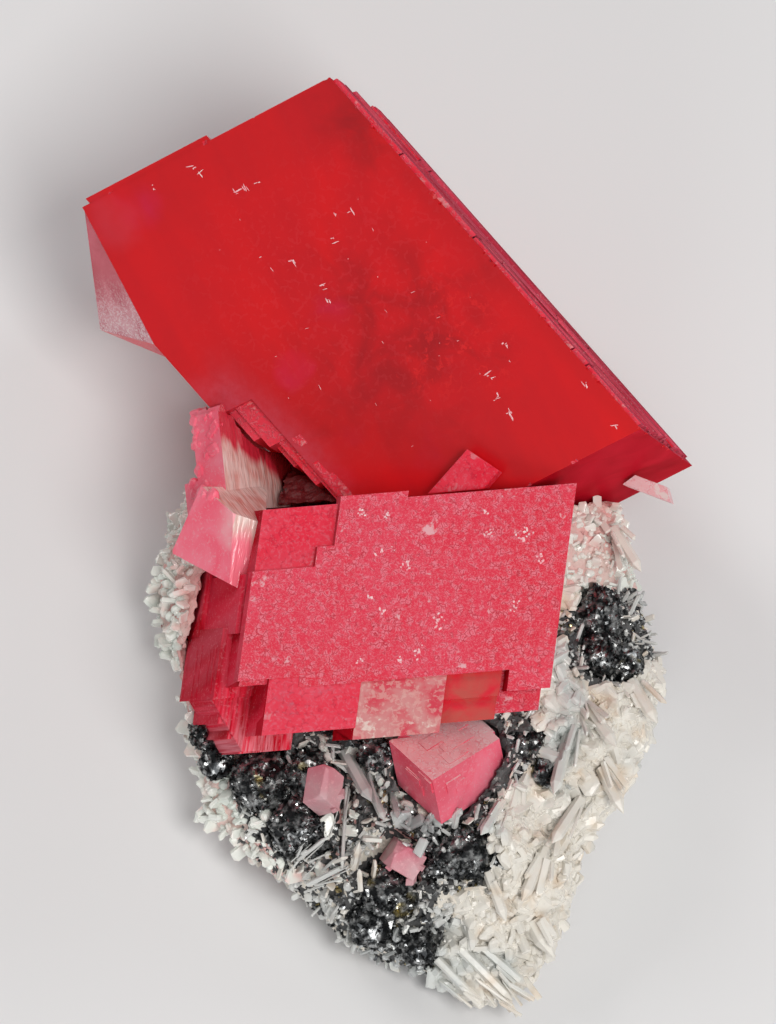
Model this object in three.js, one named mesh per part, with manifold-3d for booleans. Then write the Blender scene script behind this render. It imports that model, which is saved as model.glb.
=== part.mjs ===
// A rhodochrosite specimen: one large clear red rhombohedron across the top, a frosted pink one in front of
// it, paler and smaller ones around them, all on a matrix of quartz and dark sulphide. Millimetres, +Z up.
//
// The specimen lies on the flat back of its matrix. Everything is laid out in a face-on frame (x to the right,
// y towards the large crystal, z out of the showing face), and one group tilts that frame onto the bed.

import * as THREE from 'three';
import { ConvexGeometry } from 'three/addons/geometries/ConvexGeometry.js';
import { mergeVertices } from 'three/addons/utils/BufferGeometryUtils.js';
import Module from 'manifold-3d';

const wasm = await Module();
wasm.setup();

// ---------------------------------------------------------------------------------------------------------
// Driving dimensions

const GAP = 0.3; // clearance between neighbouring pieces
const SHOW_TILT = THREE.MathUtils.degToRad(20); // the showing face's tilt from level
const BED_DEPTH = 35.8; // from the face-on frame's origin down to the bed, along the bed's normal
const BED_SKIN = 4; // least rock left under a crystal

const at = (x, y, z) => new THREE.Vector3(x, y, z);

// The large crystal: its upper front corner and the three edges that meet there
const GRAND = {
  corner: at(-6.2, 49.5, -9),
  across: at(-26.6, -13.5, -11.6),
  down: at(33, -37.4, 3.6),
  back: at(6, -3.8, -21.5),
};
const GRAND_SHOULDER = 1.137; // how far the left side stands out, in lengths of the short edge
const GRAND_END = 0.343; // where the cut-off left end meets that side, in lengths of the long edge

// The frosted crystal: its upper left front corner, unit directions and sizes
const FROSTED = {
  corner: at(-13.4, 3.8, -7),
  across: at(0.996, 0.082, -0.037),
  down: at(-0.128, -0.948, 0.29),
  back: at(-0.25, -0.033, -0.968),
};
const FROSTED_WIDTH = 33.6;
const FROSTED_DEPTH = 20;
const LAYER = 0.9; // height of a growth step on the frosted face

// The rock: its outline seen face on, the point that its rings close on, and its front
const ROCK_OUTLINE = [
  [-21.6, 5.4], [-24.8, 0.3], [-25.3, -5.9], [-23.2, -12.4], [-21.3, -19.4], [-21.9, -22.6], [-18.7, -30],
  [-12, -36.4], [-5.1, -42], [-1.9, -44.9], [4.3, -47], [9.8, -49.6], [13.9, -49.4], [14.8, -46],
  [18.8, -42.8], [19.4, -38.5], [21.5, -31.6], [25.5, -27.3], [28.4, -20.4], [29.3, -12.4], [26.8, -3.9],
  [25.8, 3.5], [23, 8.5], [12, 10.5], [-8, 9.5], [-18, 8],
];
const ROCK_CENTRE = [3, -16];
const ROCK_SEGMENTS = 40;
// Each ring's size as a share of the outline, and its height as a share of the way from the bed to the front
const ROCK_RINGS = [
  [0.82, 0], [0.94, 0.24], [1, 0.5], [0.985, 0.68], [0.93, 0.83], [0.84, 0.93], [0.69, 1], [0.5, 1], [0.27, 1],
];
const ROCK_ROUGHNESS = 0.8;

// ---------------------------------------------------------------------------------------------------------
// Solids

// A repeatable stream of numbers from 0 to 1.
function stream(seed) {
  let state = seed;
  return () => {
    state = (state * 16807) % 2147483647;
    return state / 2147483647;
  };
}

// The solid of a closed geometry.
function solidOf(geometry) {
  geometry.deleteAttribute('normal');
  geometry.deleteAttribute('uv');
  const merged = mergeVertices(geometry, 1e-4);
  return new wasm.Manifold(new wasm.Mesh({
    numProp: 3,
    vertProperties: new Float32Array(merged.attributes.position.array),
    triVerts: new Uint32Array(merged.index.array),
  }));
}

// A convex block given by its corner points, enlarged by a gap on every side.
function hull(points, gap = 0) {
  const steps = gap > 0 ? [-gap, gap] : [0];
  const spread = points.flatMap((p) => steps.flatMap((i) => steps.flatMap((j) => (
    steps.map((k) => at(p.x + i, p.y + j, p.z + k))))));
  return solidOf(new ConvexGeometry(spread));
}

// Convex blocks joined in one solid.
const joined = (blocks, gap = 0) => blocks.map((points) => hull(points, gap)).reduce((sum, part) => sum.add(part));

// The largest body of a solid, without the crumbs that a cut leaves beside it.
const largest = (solid) => solid.decompose().reduce((best, body) => (body.volume() > best.volume() ? body : best));

// A point given by its distances along a crystal's three edges.
const along = (crystal, across, down, back) => crystal.corner.clone()
  .addScaledVector(crystal.across, across)
  .addScaledVector(crystal.down, down)
  .addScaledVector(crystal.back, back);

// The corner points of a block that runs between two distances along each of a crystal's edges.
const block = (crystal, across, down, back) => across.flatMap((u) => (
  down.flatMap((v) => back.map((w) => along(crystal, u, v, w)))));

// The corner points of a block on a four-sided or other plan, from one depth to another.
const slab = (crystal, plan, back) => plan.flatMap(([u, v]) => back.map((w) => along(crystal, u, v, w)));

// The space under the bed, raised by a distance.
function belowBed(raised = 0) {
  const size = 200;
  const geometry = new THREE.BoxGeometry(size, size, size);
  geometry.translate(0, 0, -size / 2 - BED_DEPTH + raised);
  geometry.rotateX(-SHOW_TILT);
  return solidOf(geometry);
}

// ---------------------------------------------------------------------------------------------------------
// Rhodochrosite

// The large crystal: its body, the stepped left side with a cut-off end, the growth layers that stand out along
// its long right side, and the raised step on its upper edge.
function grandBlocks() {
  const shoulder = GRAND_SHOULDER;
  const wedge = [
    [0.998, 0.004, 0.004], [shoulder, GRAND_END, 0.004], [1.27, 0.227, 0.237],
    [0.998, 0.02, 0.6], [shoulder, GRAND_END, 0.62], [1.2, 0.2, 0.66], [0.95, 0.25, 0.3],
  ];
  const layers = [[0.1, 0.2, 0.008], [0.3, 0.36, 0.016], [0.46, 0.6, 0.01], [0.7, 0.76, 0.02], [0.86, 0.94, 0.012]];
  const steps = [[0.5, 0.63, 1.1, 0.05], [0.6, 0.715, 1.055, 0.1]];
  return [
    block(GRAND, [0, 1], [0, 1], [0, 1]),
    slab(GRAND, [[1, 0], [shoulder, GRAND_END], [shoulder, 0.55], [0.9, 0.55], [0.9, 0]], [0, 1]),
    ...steps.map(([from, to, reach, recess]) => block(GRAND, [0.9, reach], [from, to], [recess, 1])),
    wedge.map(([u, v, w]) => along(GRAND, u, v, w)),
    block(GRAND, [0.48, 0.97], [-0.014, 0.1], [0.004, 0.9]),
    ...layers.map(([from, to, proud]) => block(GRAND, [-proud, 0.1], [0.01, 0.985], [from, to])),
  ];
}

// The frosted crystal: its front layer with an open upper left corner, the blocks under that layer, the stepped
// lower edge, and the stack of columns on its left side.
function frostedBlocks() {
  const width = FROSTED_WIDTH;
  const depth = FROSTED_DEPTH;
  const front = [0, 2 * LAYER];
  return [
    block(FROSTED, [8.4, 15.6], [-0.5, 20.6], front),
    block(FROSTED, [8.4, width], [0.2, 20.6], front),
    block(FROSTED, [6.6, width], [5, 20.6], front),
    block(FROSTED, [0, width], [7.2, 19.4], front),
    block(FROSTED, [29, width], [18, 23], front),
    block(FROSTED, [0.4, width - 0.3], [0.3, 20], [LAYER, depth]),
    block(FROSTED, [0.4, 12], [0.3, 20], [LAYER, depth + 5]),
    block(FROSTED, [3.4, 13.4], [18, 25.7], [LAYER, 10]),
    block(FROSTED, [3.4, 9], [18, 27.6], [9.4, 17]),
    block(FROSTED, [13.2, 22.4], [18, 27], [LAYER, 9]),
    block(FROSTED, [21, 28.4], [18, 26], [LAYER * 1.6, 9]),
    block(FROSTED, [27, 33.2], [18, 25.4], [LAYER * 2.4, 8]),
    block(FROSTED, [-0.3, 6], [7.4, 14], [3, 19]),
    block(FROSTED, [-0.9, 6], [6.6, 14], [17, 26]),
    block(FROSTED, [-0.8, 6], [13.2, 21.2], [6.5, 22]),
    block(FROSTED, [0.4, 6], [18, 24], [8, 19.5]),
    block(FROSTED, [1.6, 8], [18, 25.8], [8, 17.5]),
  ];
}

// The smaller crystals, each with its corner, its edges and the blocks that it is made of
const PALE = {
  corner: at(-18.2, 14.2, -17.5),
  across: at(7.8, -6.7, -9.5),
  down: at(1.8, -16.4, 7.3),
  back: at(-2.9, -0.7, -3.3),
};
const LOWER = {
  corner: at(4.7, -25.1, -4),
  across: at(7.15, 4.3, -7),
  down: at(0.75, -3.65, -3.1),
  back: at(-4.6, 4.1, -3.9),
};
const SLIVER = {
  corner: at(8.4, 10, -10.2),
  across: at(3.4, -2.3, 0.7),
  down: at(-4.6, -5.2, -2.2),
  back: at(0.5, -0.3, -1.6),
};
const STUB = {
  corner: at(25.9, 7.5, -20.6),
  across: at(3.9, -1.5, 2.2),
  down: at(0.5, -1.7, -0.7),
  back: at(0.4, -0.2, -2.2),
};
const LEFT_CHIP = {
  corner: at(-6.3, -22.8, -6.2),
  across: at(1.7, -1.5, -2.3),
  down: at(-0.5, -3.3, -0.9),
  back: at(-2.1, -0.6, -2.3),
};
const LOW_CHIP = {
  corner: at(1.2, -31.4, -6.6),
  across: at(3.2, -1.9, -1),
  down: at(-1.7, -2.6, -1.2),
  back: at(-0.5, 0.4, -3.4),
};

const PALE_BLOCKS = [
  block(PALE, [0, 1.2], [0, 0.9], [0, 1]),
  block(PALE, [0, 1.1], [0.42, 1.08], [0.5, 1.5]),
  block(PALE, [0.05, 1.25], [-0.14, 0.5], [0.06, 1]),
];
const LOWER_BLOCKS = [
  block(LOWER, [0, 1], [0, 1.3], [0, 1]),
  block(LOWER, [0.55, 1.05], [0.08, 1.2], [0.2, 1.2]),
];

// ---------------------------------------------------------------------------------------------------------
// The rock and what grows on it

const bedAt = (y) => (-BED_DEPTH - y * Math.sin(SHOW_TILT)) / Math.cos(SHOW_TILT);

// The rock's front: a low dome with a mound under the lower crystal, which falls away to both sides, to the
// tip, and under the large crystals.
const frontAt = (x, y) => -11.4 - 0.009 * (x - 4) ** 2 - 0.012 * Math.max(0, -30 - y) ** 2
  - 0.25 * Math.max(0, y + 20) + 2.6 * Math.exp(-((x - 8) ** 2 + (y + 32) ** 2) / 60);

// The rock's skin: rings from the flat bed up over the front, closed on a point at each end.
function rockGeometry() {
  const random = stream(20261);
  const curve = new THREE.CatmullRomCurve3(ROCK_OUTLINE.map(([x, y]) => at(x, y, 0)), true);
  const outline = curve.getSpacedPoints(ROCK_SEGMENTS).slice(0, ROCK_SEGMENTS);
  const [cx, cy] = ROCK_CENTRE;
  const points = [at(cx, cy, bedAt(cy))];
  for (const [size, rise] of ROCK_RINGS) {
    for (const edge of outline) {
      const rough = rise > 0 ? ROCK_ROUGHNESS : 0;
      const share = size * (1 - (rough * random()) / 25);
      const x = cx + (edge.x - cx) * share;
      const y = cy + (edge.y - cy) * share;
      const z = THREE.MathUtils.lerp(bedAt(y), frontAt(x, y), rise) + rough * (random() - 0.5) * 2 * rise;
      points.push(at(x, y, z));
    }
  }
  points.push(at(cx, cy, frontAt(cx, cy)));
  const faces = [];
  const ring = (row, i) => 1 + row * ROCK_SEGMENTS + (i % ROCK_SEGMENTS);
  const last = points.length - 1;
  for (let i = 0; i < ROCK_SEGMENTS; i += 1) {
    faces.push(0, ring(0, i + 1), ring(0, i));
    for (let row = 0; row < ROCK_RINGS.length - 1; row += 1) {
      faces.push(ring(row, i), ring(row, i + 1), ring(row + 1, i));
      faces.push(ring(row, i + 1), ring(row + 1, i + 1), ring(row + 1, i));
    }
    faces.push(last, ring(ROCK_RINGS.length - 1, i), ring(ROCK_RINGS.length - 1, i + 1));
  }
  const geometry = new THREE.BufferGeometry().setFromPoints(points);
  geometry.setIndex(faces);
  return geometry;
}

// The corner points of a quartz prism from its root to its tip, with a six-sided point as its end.
function prism([x0, y0, lift0], [x1, y1, lift1], radius) {
  const root = at(x0, y0, frontAt(x0, y0) + lift0);
  const tip = at(x1, y1, frontAt(x1, y1) + lift1);
  const axis = tip.clone().sub(root);
  const side = at(axis.y, -axis.x, 0).normalize();
  const other = axis.clone().normalize().cross(side);
  const shoulder = 1 - Math.min(0.5, (1.3 * radius) / axis.length());
  const rings = [0, shoulder].flatMap((share) => Array.from({ length: 6 }, (_, i) => root.clone()
    .addScaledVector(axis, share)
    .addScaledVector(side, radius * Math.cos((i * Math.PI) / 3))
    .addScaledVector(other, radius * Math.sin((i * Math.PI) / 3))));
  return [...rings, tip];
}

// The corner points of a rounded, many-faced lump that sits on the rock.
function lump([x, y, lift], radius, seed) {
  const random = stream(seed);
  const ball = new THREE.IcosahedronGeometry(radius, 1);
  ball.deleteAttribute('normal');
  ball.deleteAttribute('uv');
  const corners = mergeVertices(ball, 1e-3).attributes.position;
  const z = frontAt(x, y) + lift;
  return Array.from({ length: corners.count }, (_, i) => {
    const size = 0.86 + 0.2 * random();
    return at(corners.getX(i) * size + x, corners.getY(i) * size + y, corners.getZ(i) * size * 0.8 + z);
  });
}

// Quartz: root, tip (x, y and height over the rock's front) and radius
const QUARTZ = {
  quartz_grey_point: [[-5.1, -21.5, -2], [-1.7, -27.5, 3.2], 1.15],
  quartz_grey_pair: [[-2.8, -24.2, -2], [-0.3, -29.6, 2.2], 0.75],
  quartz_short_point: [[0.4, -26.3, -2], [1.1, -29.2, 2.4], 0.65],
  quartz_spine: [[-4.4, -26, -1.4], [-4.9, -34.8, 2.6], 0.65],
  quartz_left_point: [[-9.6, -33.8, -0.6], [-6.4, -31.2, 2.6], 0.75],
  quartz_left_blade: [[-8.5, -36.5, -0.6], [-3.8, -33.8, 2.4], 0.9],
  quartz_cream_block: [[-3.2, -34.4, -1.2], [-2.6, -31.6, 3.6], 1.5],
  quartz_tip_needle: [[5.2, -44.4, -1.2], [10.2, -49.6, 1.4], 0.8],
  quartz_tip_blade: [[7.4, -43, -1], [13.4, -49, 1.6], 0.95],
  quartz_tip_wedge: [[10.2, -43.2, -1], [15, -47.4, 1.2], 0.9],
  quartz_tip_block: [[15.6, -40.4, -1.4], [17.8, -44.4, 1.6], 1.9],
  quartz_right_top: [[24.2, 1.6, -1.5], [27.2, -3.2, 1.2], 1],
  quartz_right_edge: [[26, -14.8, -1.2], [28.8, -19.4, 1.4], 1.15],
  quartz_right_blade: [[21.2, -17.4, -1], [24.4, -21.8, 3], 1.2],
  quartz_right_fan: [[19.2, -20.6, -1], [17.6, -26.8, 3], 1.15],
  quartz_right_leaf: [[22.8, -24, -1], [25.2, -29, 1.6], 1.2],
  quartz_middle_leaf: [[20.6, -27.4, -1], [17.4, -32, 2.8], 1.1],
  quartz_middle_blade: [[12.2, -27.6, -1], [9.8, -31, 3], 0.9],
  quartz_lower_blade: [[16.8, -32.6, -1], [14.2, -38.2, 2.6], 1.1],
  quartz_lower_leaf: [[10.6, -35, -1], [12.6, -40.4, 2.6], 1],
};

// Sulphide: the lumps of each cluster, with their places over the rock's front and their radii
const SULPHIDE = {
  sulphide_left_cluster: [[[-13.2, -25.4, -1.4], 3.7], [[-9, -30, -1.6], 3.9], [[-8.4, -24.6, -1.2], 3]],
  sulphide_ball: [[[-1.4, -22.3, 1.2], 1.9]],
  sulphide_left_rim: [[[-19.2, -20.2, -1], 2.1], [[-18.4, -23.4, -1.4], 1.9]],
  sulphide_right_cluster: [[[22.4, -7.4, -0.8], 2.7], [[22.8, -11.6, -0.8], 2.5], [[25.4, -13.2, -1.6], 2.1]],
  sulphide_right_speck: [[[16.6, -24.6, -0.2], 1.5]],
  sulphide_hollow: [[[14.6, -21.2, -1.4], 2]],
  sulphide_middle: [[[8, -33, -1.2], 3], [[4.8, -33.4, -1.4], 2.2]],
  sulphide_low: [[[0.2, -37, -1.4], 3.2], [[-1.8, -40.6, -1.6], 2.4]],
  sulphide_low_right: [[[6.6, -41.6, -0.8], 1.9], [[3.2, -43, -1.2], 2]],
};

// ---------------------------------------------------------------------------------------------------------
// Materials

const finish = (color, roughness, metalness = 0, opacity = 1) => new THREE.MeshStandardMaterial({
  color, roughness, metalness, opacity, transparent: opacity < 1, flatShading: true,
});
const RED = () => finish(0xc81c24, 0.12, 0, 0.85);
const PINK = () => finish(0xd8405a, 0.45);
const PALE_PINK = () => finish(0xe88090, 0.4);
const QUARTZ_WHITE = () => finish(0xe2dccf, 0.35);
const SULPHIDE_GREY = () => finish(0x2c2f30, 0.3, 0.8);
const ROCK = () => finish(0xc9c2b4, 0.8);

// ---------------------------------------------------------------------------------------------------------
// Assembly

// The mesh of a solid.
function meshOf(name, solid, material) {
  const { vertProperties, triVerts } = solid.getMesh();
  const geometry = new THREE.BufferGeometry();
  geometry.setAttribute('position', new THREE.BufferAttribute(vertProperties, 3));
  geometry.setIndex(new THREE.BufferAttribute(triVerts, 1));
  geometry.computeVertexNormals();
  const mesh = new THREE.Mesh(geometry, material);
  mesh.name = name;
  return mesh;
}

const pieces = [];

let taken; // the space of the pieces placed so far, each with its gap

// Adds a piece, cut clear of every piece before it and of the rock left under it.
function place(name, blocks, material) {
  const whole = joined(blocks).subtract(belowBed(BED_SKIN));
  pieces.push({ name, solid: largest(taken ? whole.subtract(taken) : whole), material });
  const space = joined(blocks, GAP);
  taken = taken ? taken.add(space) : space;
}

place('large_red_rhomb', grandBlocks(), RED());
place('frosted_rhomb', frostedBlocks(), PINK());
place('pale_rhomb', PALE_BLOCKS, PALE_PINK());
place('lower_rhomb', LOWER_BLOCKS, PINK());
place('sliver_rhomb', [block(SLIVER, [0, 1], [0, 1], [0, 1])], PINK());
place('stub_rhomb', [block(STUB, [-0.3, 1], [0, 1], [0, 1])], PALE_PINK());
place('left_chip_rhomb', [block(LEFT_CHIP, [0, 1.2], [0, 1.3], [0, 1.2])], PALE_PINK());
place('low_chip_rhomb', [block(LOW_CHIP, [0, 1.1], [0, 1.1], [0, 1.5])], PALE_PINK());
for (const [name, [root, tip, radius]] of Object.entries(QUARTZ)) {
  place(name, [prism(root, tip, radius)], QUARTZ_WHITE());
}
for (const [name, lumps] of Object.entries(SULPHIDE)) {
  place(name, lumps.map(([spot, radius], i) => lump(spot, radius, 101 + 17 * i)), SULPHIDE_GREY());
}

const sockets = taken.subtract(belowBed(BED_SKIN - GAP));
const rock = largest(solidOf(rockGeometry()).subtract(belowBed()).subtract(sockets));

const specimen = new THREE.Group();
specimen.rotation.x = SHOW_TILT;
specimen.position.z = BED_DEPTH;
specimen.add(meshOf('matrix_rock', rock, ROCK()));
for (const { name, solid, material } of pieces) specimen.add(meshOf(name, solid, material));

const model = new THREE.Group();
model.add(specimen);

export default model;
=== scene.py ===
"""A rhodochrosite specimen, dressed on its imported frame.

One large clear red rhombohedron lies across the top, a frosted pink one stands in front of it, and paler
and smaller ones sit around them on a matrix of quartz blades and dark sulphide. The specimen lies on the
flat back of its matrix, so its showing face looks up and a little towards -Y.

Lengths are in millimetres in the face-on frame (x right, y towards the large crystal, z out of the showing
face) unless a comment says otherwise. Finished meshes are in metres in the row frame.
"""

from __future__ import annotations

import functools
import logging
import math
import random
from collections.abc import Callable, Sequence
from dataclasses import dataclass, field
from enum import Enum

import bmesh
import bpy
import numpy as np
from mathutils import Matrix, Vector, noise
from mathutils.bvhtree import BVHTree

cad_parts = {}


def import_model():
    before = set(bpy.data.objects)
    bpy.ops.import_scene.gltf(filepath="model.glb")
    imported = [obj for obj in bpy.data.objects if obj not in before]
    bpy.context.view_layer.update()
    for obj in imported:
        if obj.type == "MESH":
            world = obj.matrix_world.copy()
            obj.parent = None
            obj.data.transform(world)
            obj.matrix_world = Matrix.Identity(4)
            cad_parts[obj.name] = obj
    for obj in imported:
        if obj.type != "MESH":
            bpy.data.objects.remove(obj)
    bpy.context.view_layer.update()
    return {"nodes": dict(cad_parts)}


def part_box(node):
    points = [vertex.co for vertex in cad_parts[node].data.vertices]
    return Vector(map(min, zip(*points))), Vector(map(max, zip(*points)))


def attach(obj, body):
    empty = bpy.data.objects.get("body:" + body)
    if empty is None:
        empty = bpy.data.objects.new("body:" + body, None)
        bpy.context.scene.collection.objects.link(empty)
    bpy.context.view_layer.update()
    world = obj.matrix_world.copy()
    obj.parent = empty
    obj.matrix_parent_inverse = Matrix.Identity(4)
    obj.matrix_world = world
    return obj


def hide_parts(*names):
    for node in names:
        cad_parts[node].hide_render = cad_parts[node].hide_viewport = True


LOG = logging.getLogger("specimen")
MM = 0.001
NOISE_SEED = 5  # noise vectors start from the clock unless a seed is set
SQUARE_ON = 0.96  # cosine above which a facet counts as one of its crystal's own faces
Triple = tuple[float, float, float]
Colour = tuple[float, float, float]
Piece = bpy.types.Object
Socket = bpy.types.NodeSocket
Sockets = bpy.types.bpy_prop_collection
Place = tuple[int, Matrix]  # a prototype's number and its step to the row frame


# --------------------------------------------------------------------------------------------------------
# Places and crystal axes


@dataclass(frozen=True)
class ShowingFrame:
    """The face-on frame in which the crystals are laid out.

    Attributes:
        tilt: How far the showing face leans from level towards -Y, in radians.
        bed_depth: From the frame's origin down to the bed, along the bed's normal.
    """

    tilt: float = math.radians(20)
    bed_depth: float = 35.8

    @property
    def matrix(self) -> Matrix:
        """The step from the face-on frame in millimetres to the row frame in metres."""
        return (
            Matrix.Translation((0, 0, self.bed_depth * MM))
            @ Matrix.Rotation(self.tilt, 4, "X")
            @ Matrix.Scale(MM, 4)
        )

    def point(self, x: float, y: float, z: float) -> Vector:
        """The row-frame point of a face-on point."""
        return self.matrix @ Vector((x, y, z))

    def direction(self, x: float, y: float, z: float) -> Vector:
        """The row-frame unit direction of a face-on direction."""
        return (self.matrix.to_3x3() @ Vector((x, y, z))).normalized()

    def face_on(self, point: Vector) -> Vector:
        """The face-on point of a row-frame point."""
        return self.matrix.inverted() @ point

    def facing(self, normal: Vector) -> Vector:
        """The face-on direction of a row-frame direction."""
        return (self.matrix.inverted().to_3x3() @ normal).normalized()


SHOWING = ShowingFrame()


@dataclass(frozen=True)
class CrystalAxes:
    """The corner of a crystal and the three edges that meet there, in the face-on frame.

    Attributes:
        corner: The upper front corner.
        across: The edge that runs across the front face.
        down: The edge that runs down the front face.
        back: The edge that runs away from the front face.
    """

    corner: Triple
    across: Triple
    down: Triple
    back: Triple

    @property
    def matrix(self) -> Matrix:
        """The step from shares of the three edges to the row frame."""
        columns = [Vector((*edge, 0.0)) for edge in (self.across, self.down, self.back)]
        columns.append(Vector((*self.corner, 1.0)))
        return SHOWING.matrix @ Matrix(columns).transposed()

    def normal(self, first: Triple, second: Triple) -> Vector:
        """The row-frame unit normal of the face that two edges span."""
        return SHOWING.direction(*Vector(first).cross(Vector(second)))

    def spot(self, across: float, down: float, back: float = 0.0) -> Vector:
        """The row-frame point at shares of the three edges."""
        return self.matrix @ Vector((across, down, back))

    def shares(self, point: Vector) -> Vector:
        """The shares of the three edges at a face-on point."""
        return self.matrix.inverted() @ (SHOWING.matrix @ point)


GRAND = CrystalAxes((-6.2, 49.5, -9), (-26.6, -13.5, -11.6), (33, -37.4, 3.6), (6, -3.8, -21.5))
FROSTED = CrystalAxes(
    (-13.4, 3.8, -7), (0.996, 0.082, -0.037), (-0.128, -0.948, 0.29), (-0.25, -0.033, -0.968)
)
PALE = CrystalAxes((-18.2, 14.2, -17.5), (7.8, -6.7, -9.5), (1.8, -16.4, 7.3), (-2.9, -0.7, -3.3))
LOWER = CrystalAxes((4.7, -25.1, -4), (7.15, 4.3, -7), (0.75, -3.65, -3.1), (-4.6, 4.1, -3.9))
PLAIN = CrystalAxes((0, 0, 0), (1, 0, 0), (0, 1, 0), (0, 0, 1))


# --------------------------------------------------------------------------------------------------------
# Modelling


class Bench:
    """The bench on which meshes are made: selection, primitives, edit-mode steps and modifiers."""

    @staticmethod
    def clear() -> None:
        """Leaves nothing selected."""
        if bpy.context.object is not None and bpy.context.object.mode != "OBJECT":
            bpy.ops.object.mode_set(mode="OBJECT")
        bpy.ops.object.select_all(action="DESELECT")

    @classmethod
    def take(cls, piece: Piece) -> None:
        """Makes a piece the only selected and the active one."""
        cls.clear()
        piece.select_set(True)
        bpy.context.view_layer.objects.active = piece

    @classmethod
    def edit(cls, piece: Piece, *steps: Callable[[], object]) -> None:
        """Runs edit-mode steps on a piece.

        Args:
            piece: The piece to edit.
            steps: Calls to make, with everything selected before each one.
        """
        cls.take(piece)
        bpy.ops.object.mode_set(mode="EDIT")
        for step in steps:
            bpy.ops.mesh.select_all(action="SELECT")
            step()
        bpy.ops.object.mode_set(mode="OBJECT")

    @classmethod
    def select_faces(cls, piece: Piece, wanted: Callable[[bmesh.types.BMFace], bool]) -> None:
        """Selects the faces that pass a test, in edit mode.

        Args:
            piece: The piece, already in edit mode.
            wanted: The test for a face.
        """
        shape = bmesh.from_edit_mesh(piece.data)
        for face in shape.faces:
            face.select_set(bool(wanted(face)))
        bmesh.update_edit_mesh(piece.data)

    @classmethod
    def apply(cls, piece: Piece, kind: str, **settings: object) -> None:
        """Adds a modifier with its settings and applies it.

        Args:
            piece: The piece to change.
            kind: The modifier's type.
            settings: The modifier's properties by name.
        """
        cls.take(piece)
        modifier = piece.modifiers.new(kind.lower(), kind)
        for name, value in settings.items():
            setattr(modifier, name, value)
        bpy.ops.object.modifier_apply(modifier=modifier.name)

    @classmethod
    def copy_of_node(cls, node: Piece, name: str) -> Piece:
        """A merged, plain-faced copy of a CAD node, with its flat faces made whole.

        Args:
            node: The CAD node's object.
            name: The copy's name.

        Returns:
            The copy.
        """
        mesh = node.data.copy()
        mesh.materials.clear()
        piece = bpy.data.objects.new(name, mesh)
        bpy.context.scene.collection.objects.link(piece)
        cls.edit(
            piece,
            lambda: bpy.ops.mesh.remove_doubles(threshold=2e-6),
            lambda: bpy.ops.mesh.dissolve_limited(angle_limit=math.radians(0.6)),
        )
        cls.take(piece)
        bpy.ops.mesh.customdata_custom_splitnormals_clear()
        bpy.ops.object.shade_flat()
        return piece

    @classmethod
    def block(cls, name: str, axes: CrystalAxes, low: Triple, high: Triple) -> Piece:
        """An oblique block between two places along a crystal's edges.

        Args:
            name: The block's name.
            axes: The crystal that it belongs to.
            low: Where it starts along each edge.
            high: Where it ends along each edge.

        Returns:
            The block, its place in its mesh.
        """
        cls.clear()
        middle = [(a + b) / 2 for a, b in zip(low, high)]
        bpy.ops.mesh.primitive_cube_add(size=1, location=middle, scale=[b - a for a, b in zip(low, high)])
        piece = bpy.context.object
        piece.name = name
        bpy.ops.object.transform_apply(location=True, rotation=True, scale=True)
        piece.data.transform(axes.matrix)
        if axes.matrix.to_3x3().determinant() < 0:
            piece.data.flip_normals()
        return piece

    @classmethod
    def chip(cls, place: Vector, size: float, rng: random.Random) -> Piece:
        """A small turned cube, used to take a chip out of an edge.

        Args:
            place: Its middle in the row frame.
            size: The side of the cube.
            rng: The source of its turn.

        Returns:
            The cube.
        """
        cls.clear()
        turn = [rng.uniform(0, math.pi) for _ in range(3)]
        bpy.ops.mesh.primitive_cube_add(size=size * MM, location=place, rotation=turn)
        bpy.ops.object.transform_apply(location=True, rotation=True, scale=True)
        return bpy.context.object

    @classmethod
    def join(cls, pieces: Sequence[Piece]) -> Piece:
        """Joins meshes in the first one, without merging them.

        Args:
            pieces: The pieces to join.

        Returns:
            The first piece, with the others in it.
        """
        cls.clear()
        for piece in pieces:
            piece.select_set(True)
        bpy.context.view_layer.objects.active = pieces[0]
        bpy.ops.object.join()
        return pieces[0]

    @classmethod
    def combine(cls, piece: Piece, tools: Sequence[Piece], operation: str = "UNION") -> None:
        """Joins closed tools with a piece, or cuts them from it, one after another, and discards them.

        Args:
            piece: The piece to change.
            tools: Closed meshes.
            operation: UNION or DIFFERENCE.
        """
        for tool in tools:
            cls.apply(piece, "BOOLEAN", object=tool, operation=operation, solver="MANIFOLD")
            bpy.data.objects.remove(tool)

    @classmethod
    def facet(cls, piece: Piece, point: Triple, outward: Triple) -> None:
        """Cuts a flat facet on a closed piece.

        Args:
            piece: The piece to cut.
            point: A point on the facet, in the face-on frame.
            outward: The way the facet faces, in the face-on frame.
        """
        cls.edit(
            piece,
            lambda: bpy.ops.mesh.bisect(
                plane_co=SHOWING.point(*point),
                plane_no=SHOWING.direction(*outward),
                use_fill=True,
                clear_outer=True,
            ),
        )

    @classmethod
    def bevel(cls, piece: Piece, width: float, segments: int = 1, angle: float = 25) -> None:
        """Eases a piece's sharp edges.

        Args:
            piece: The piece to bevel.
            width: The bevel's width.
            segments: Its segments.
            angle: The least angle between two faces, in degrees, at which their edge is eased.
        """
        cls.apply(
            piece,
            "BEVEL",
            width=width * MM,
            segments=segments,
            limit_method="ANGLE",
            angle_limit=math.radians(angle),
            use_clamp_overlap=True,
        )

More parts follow.
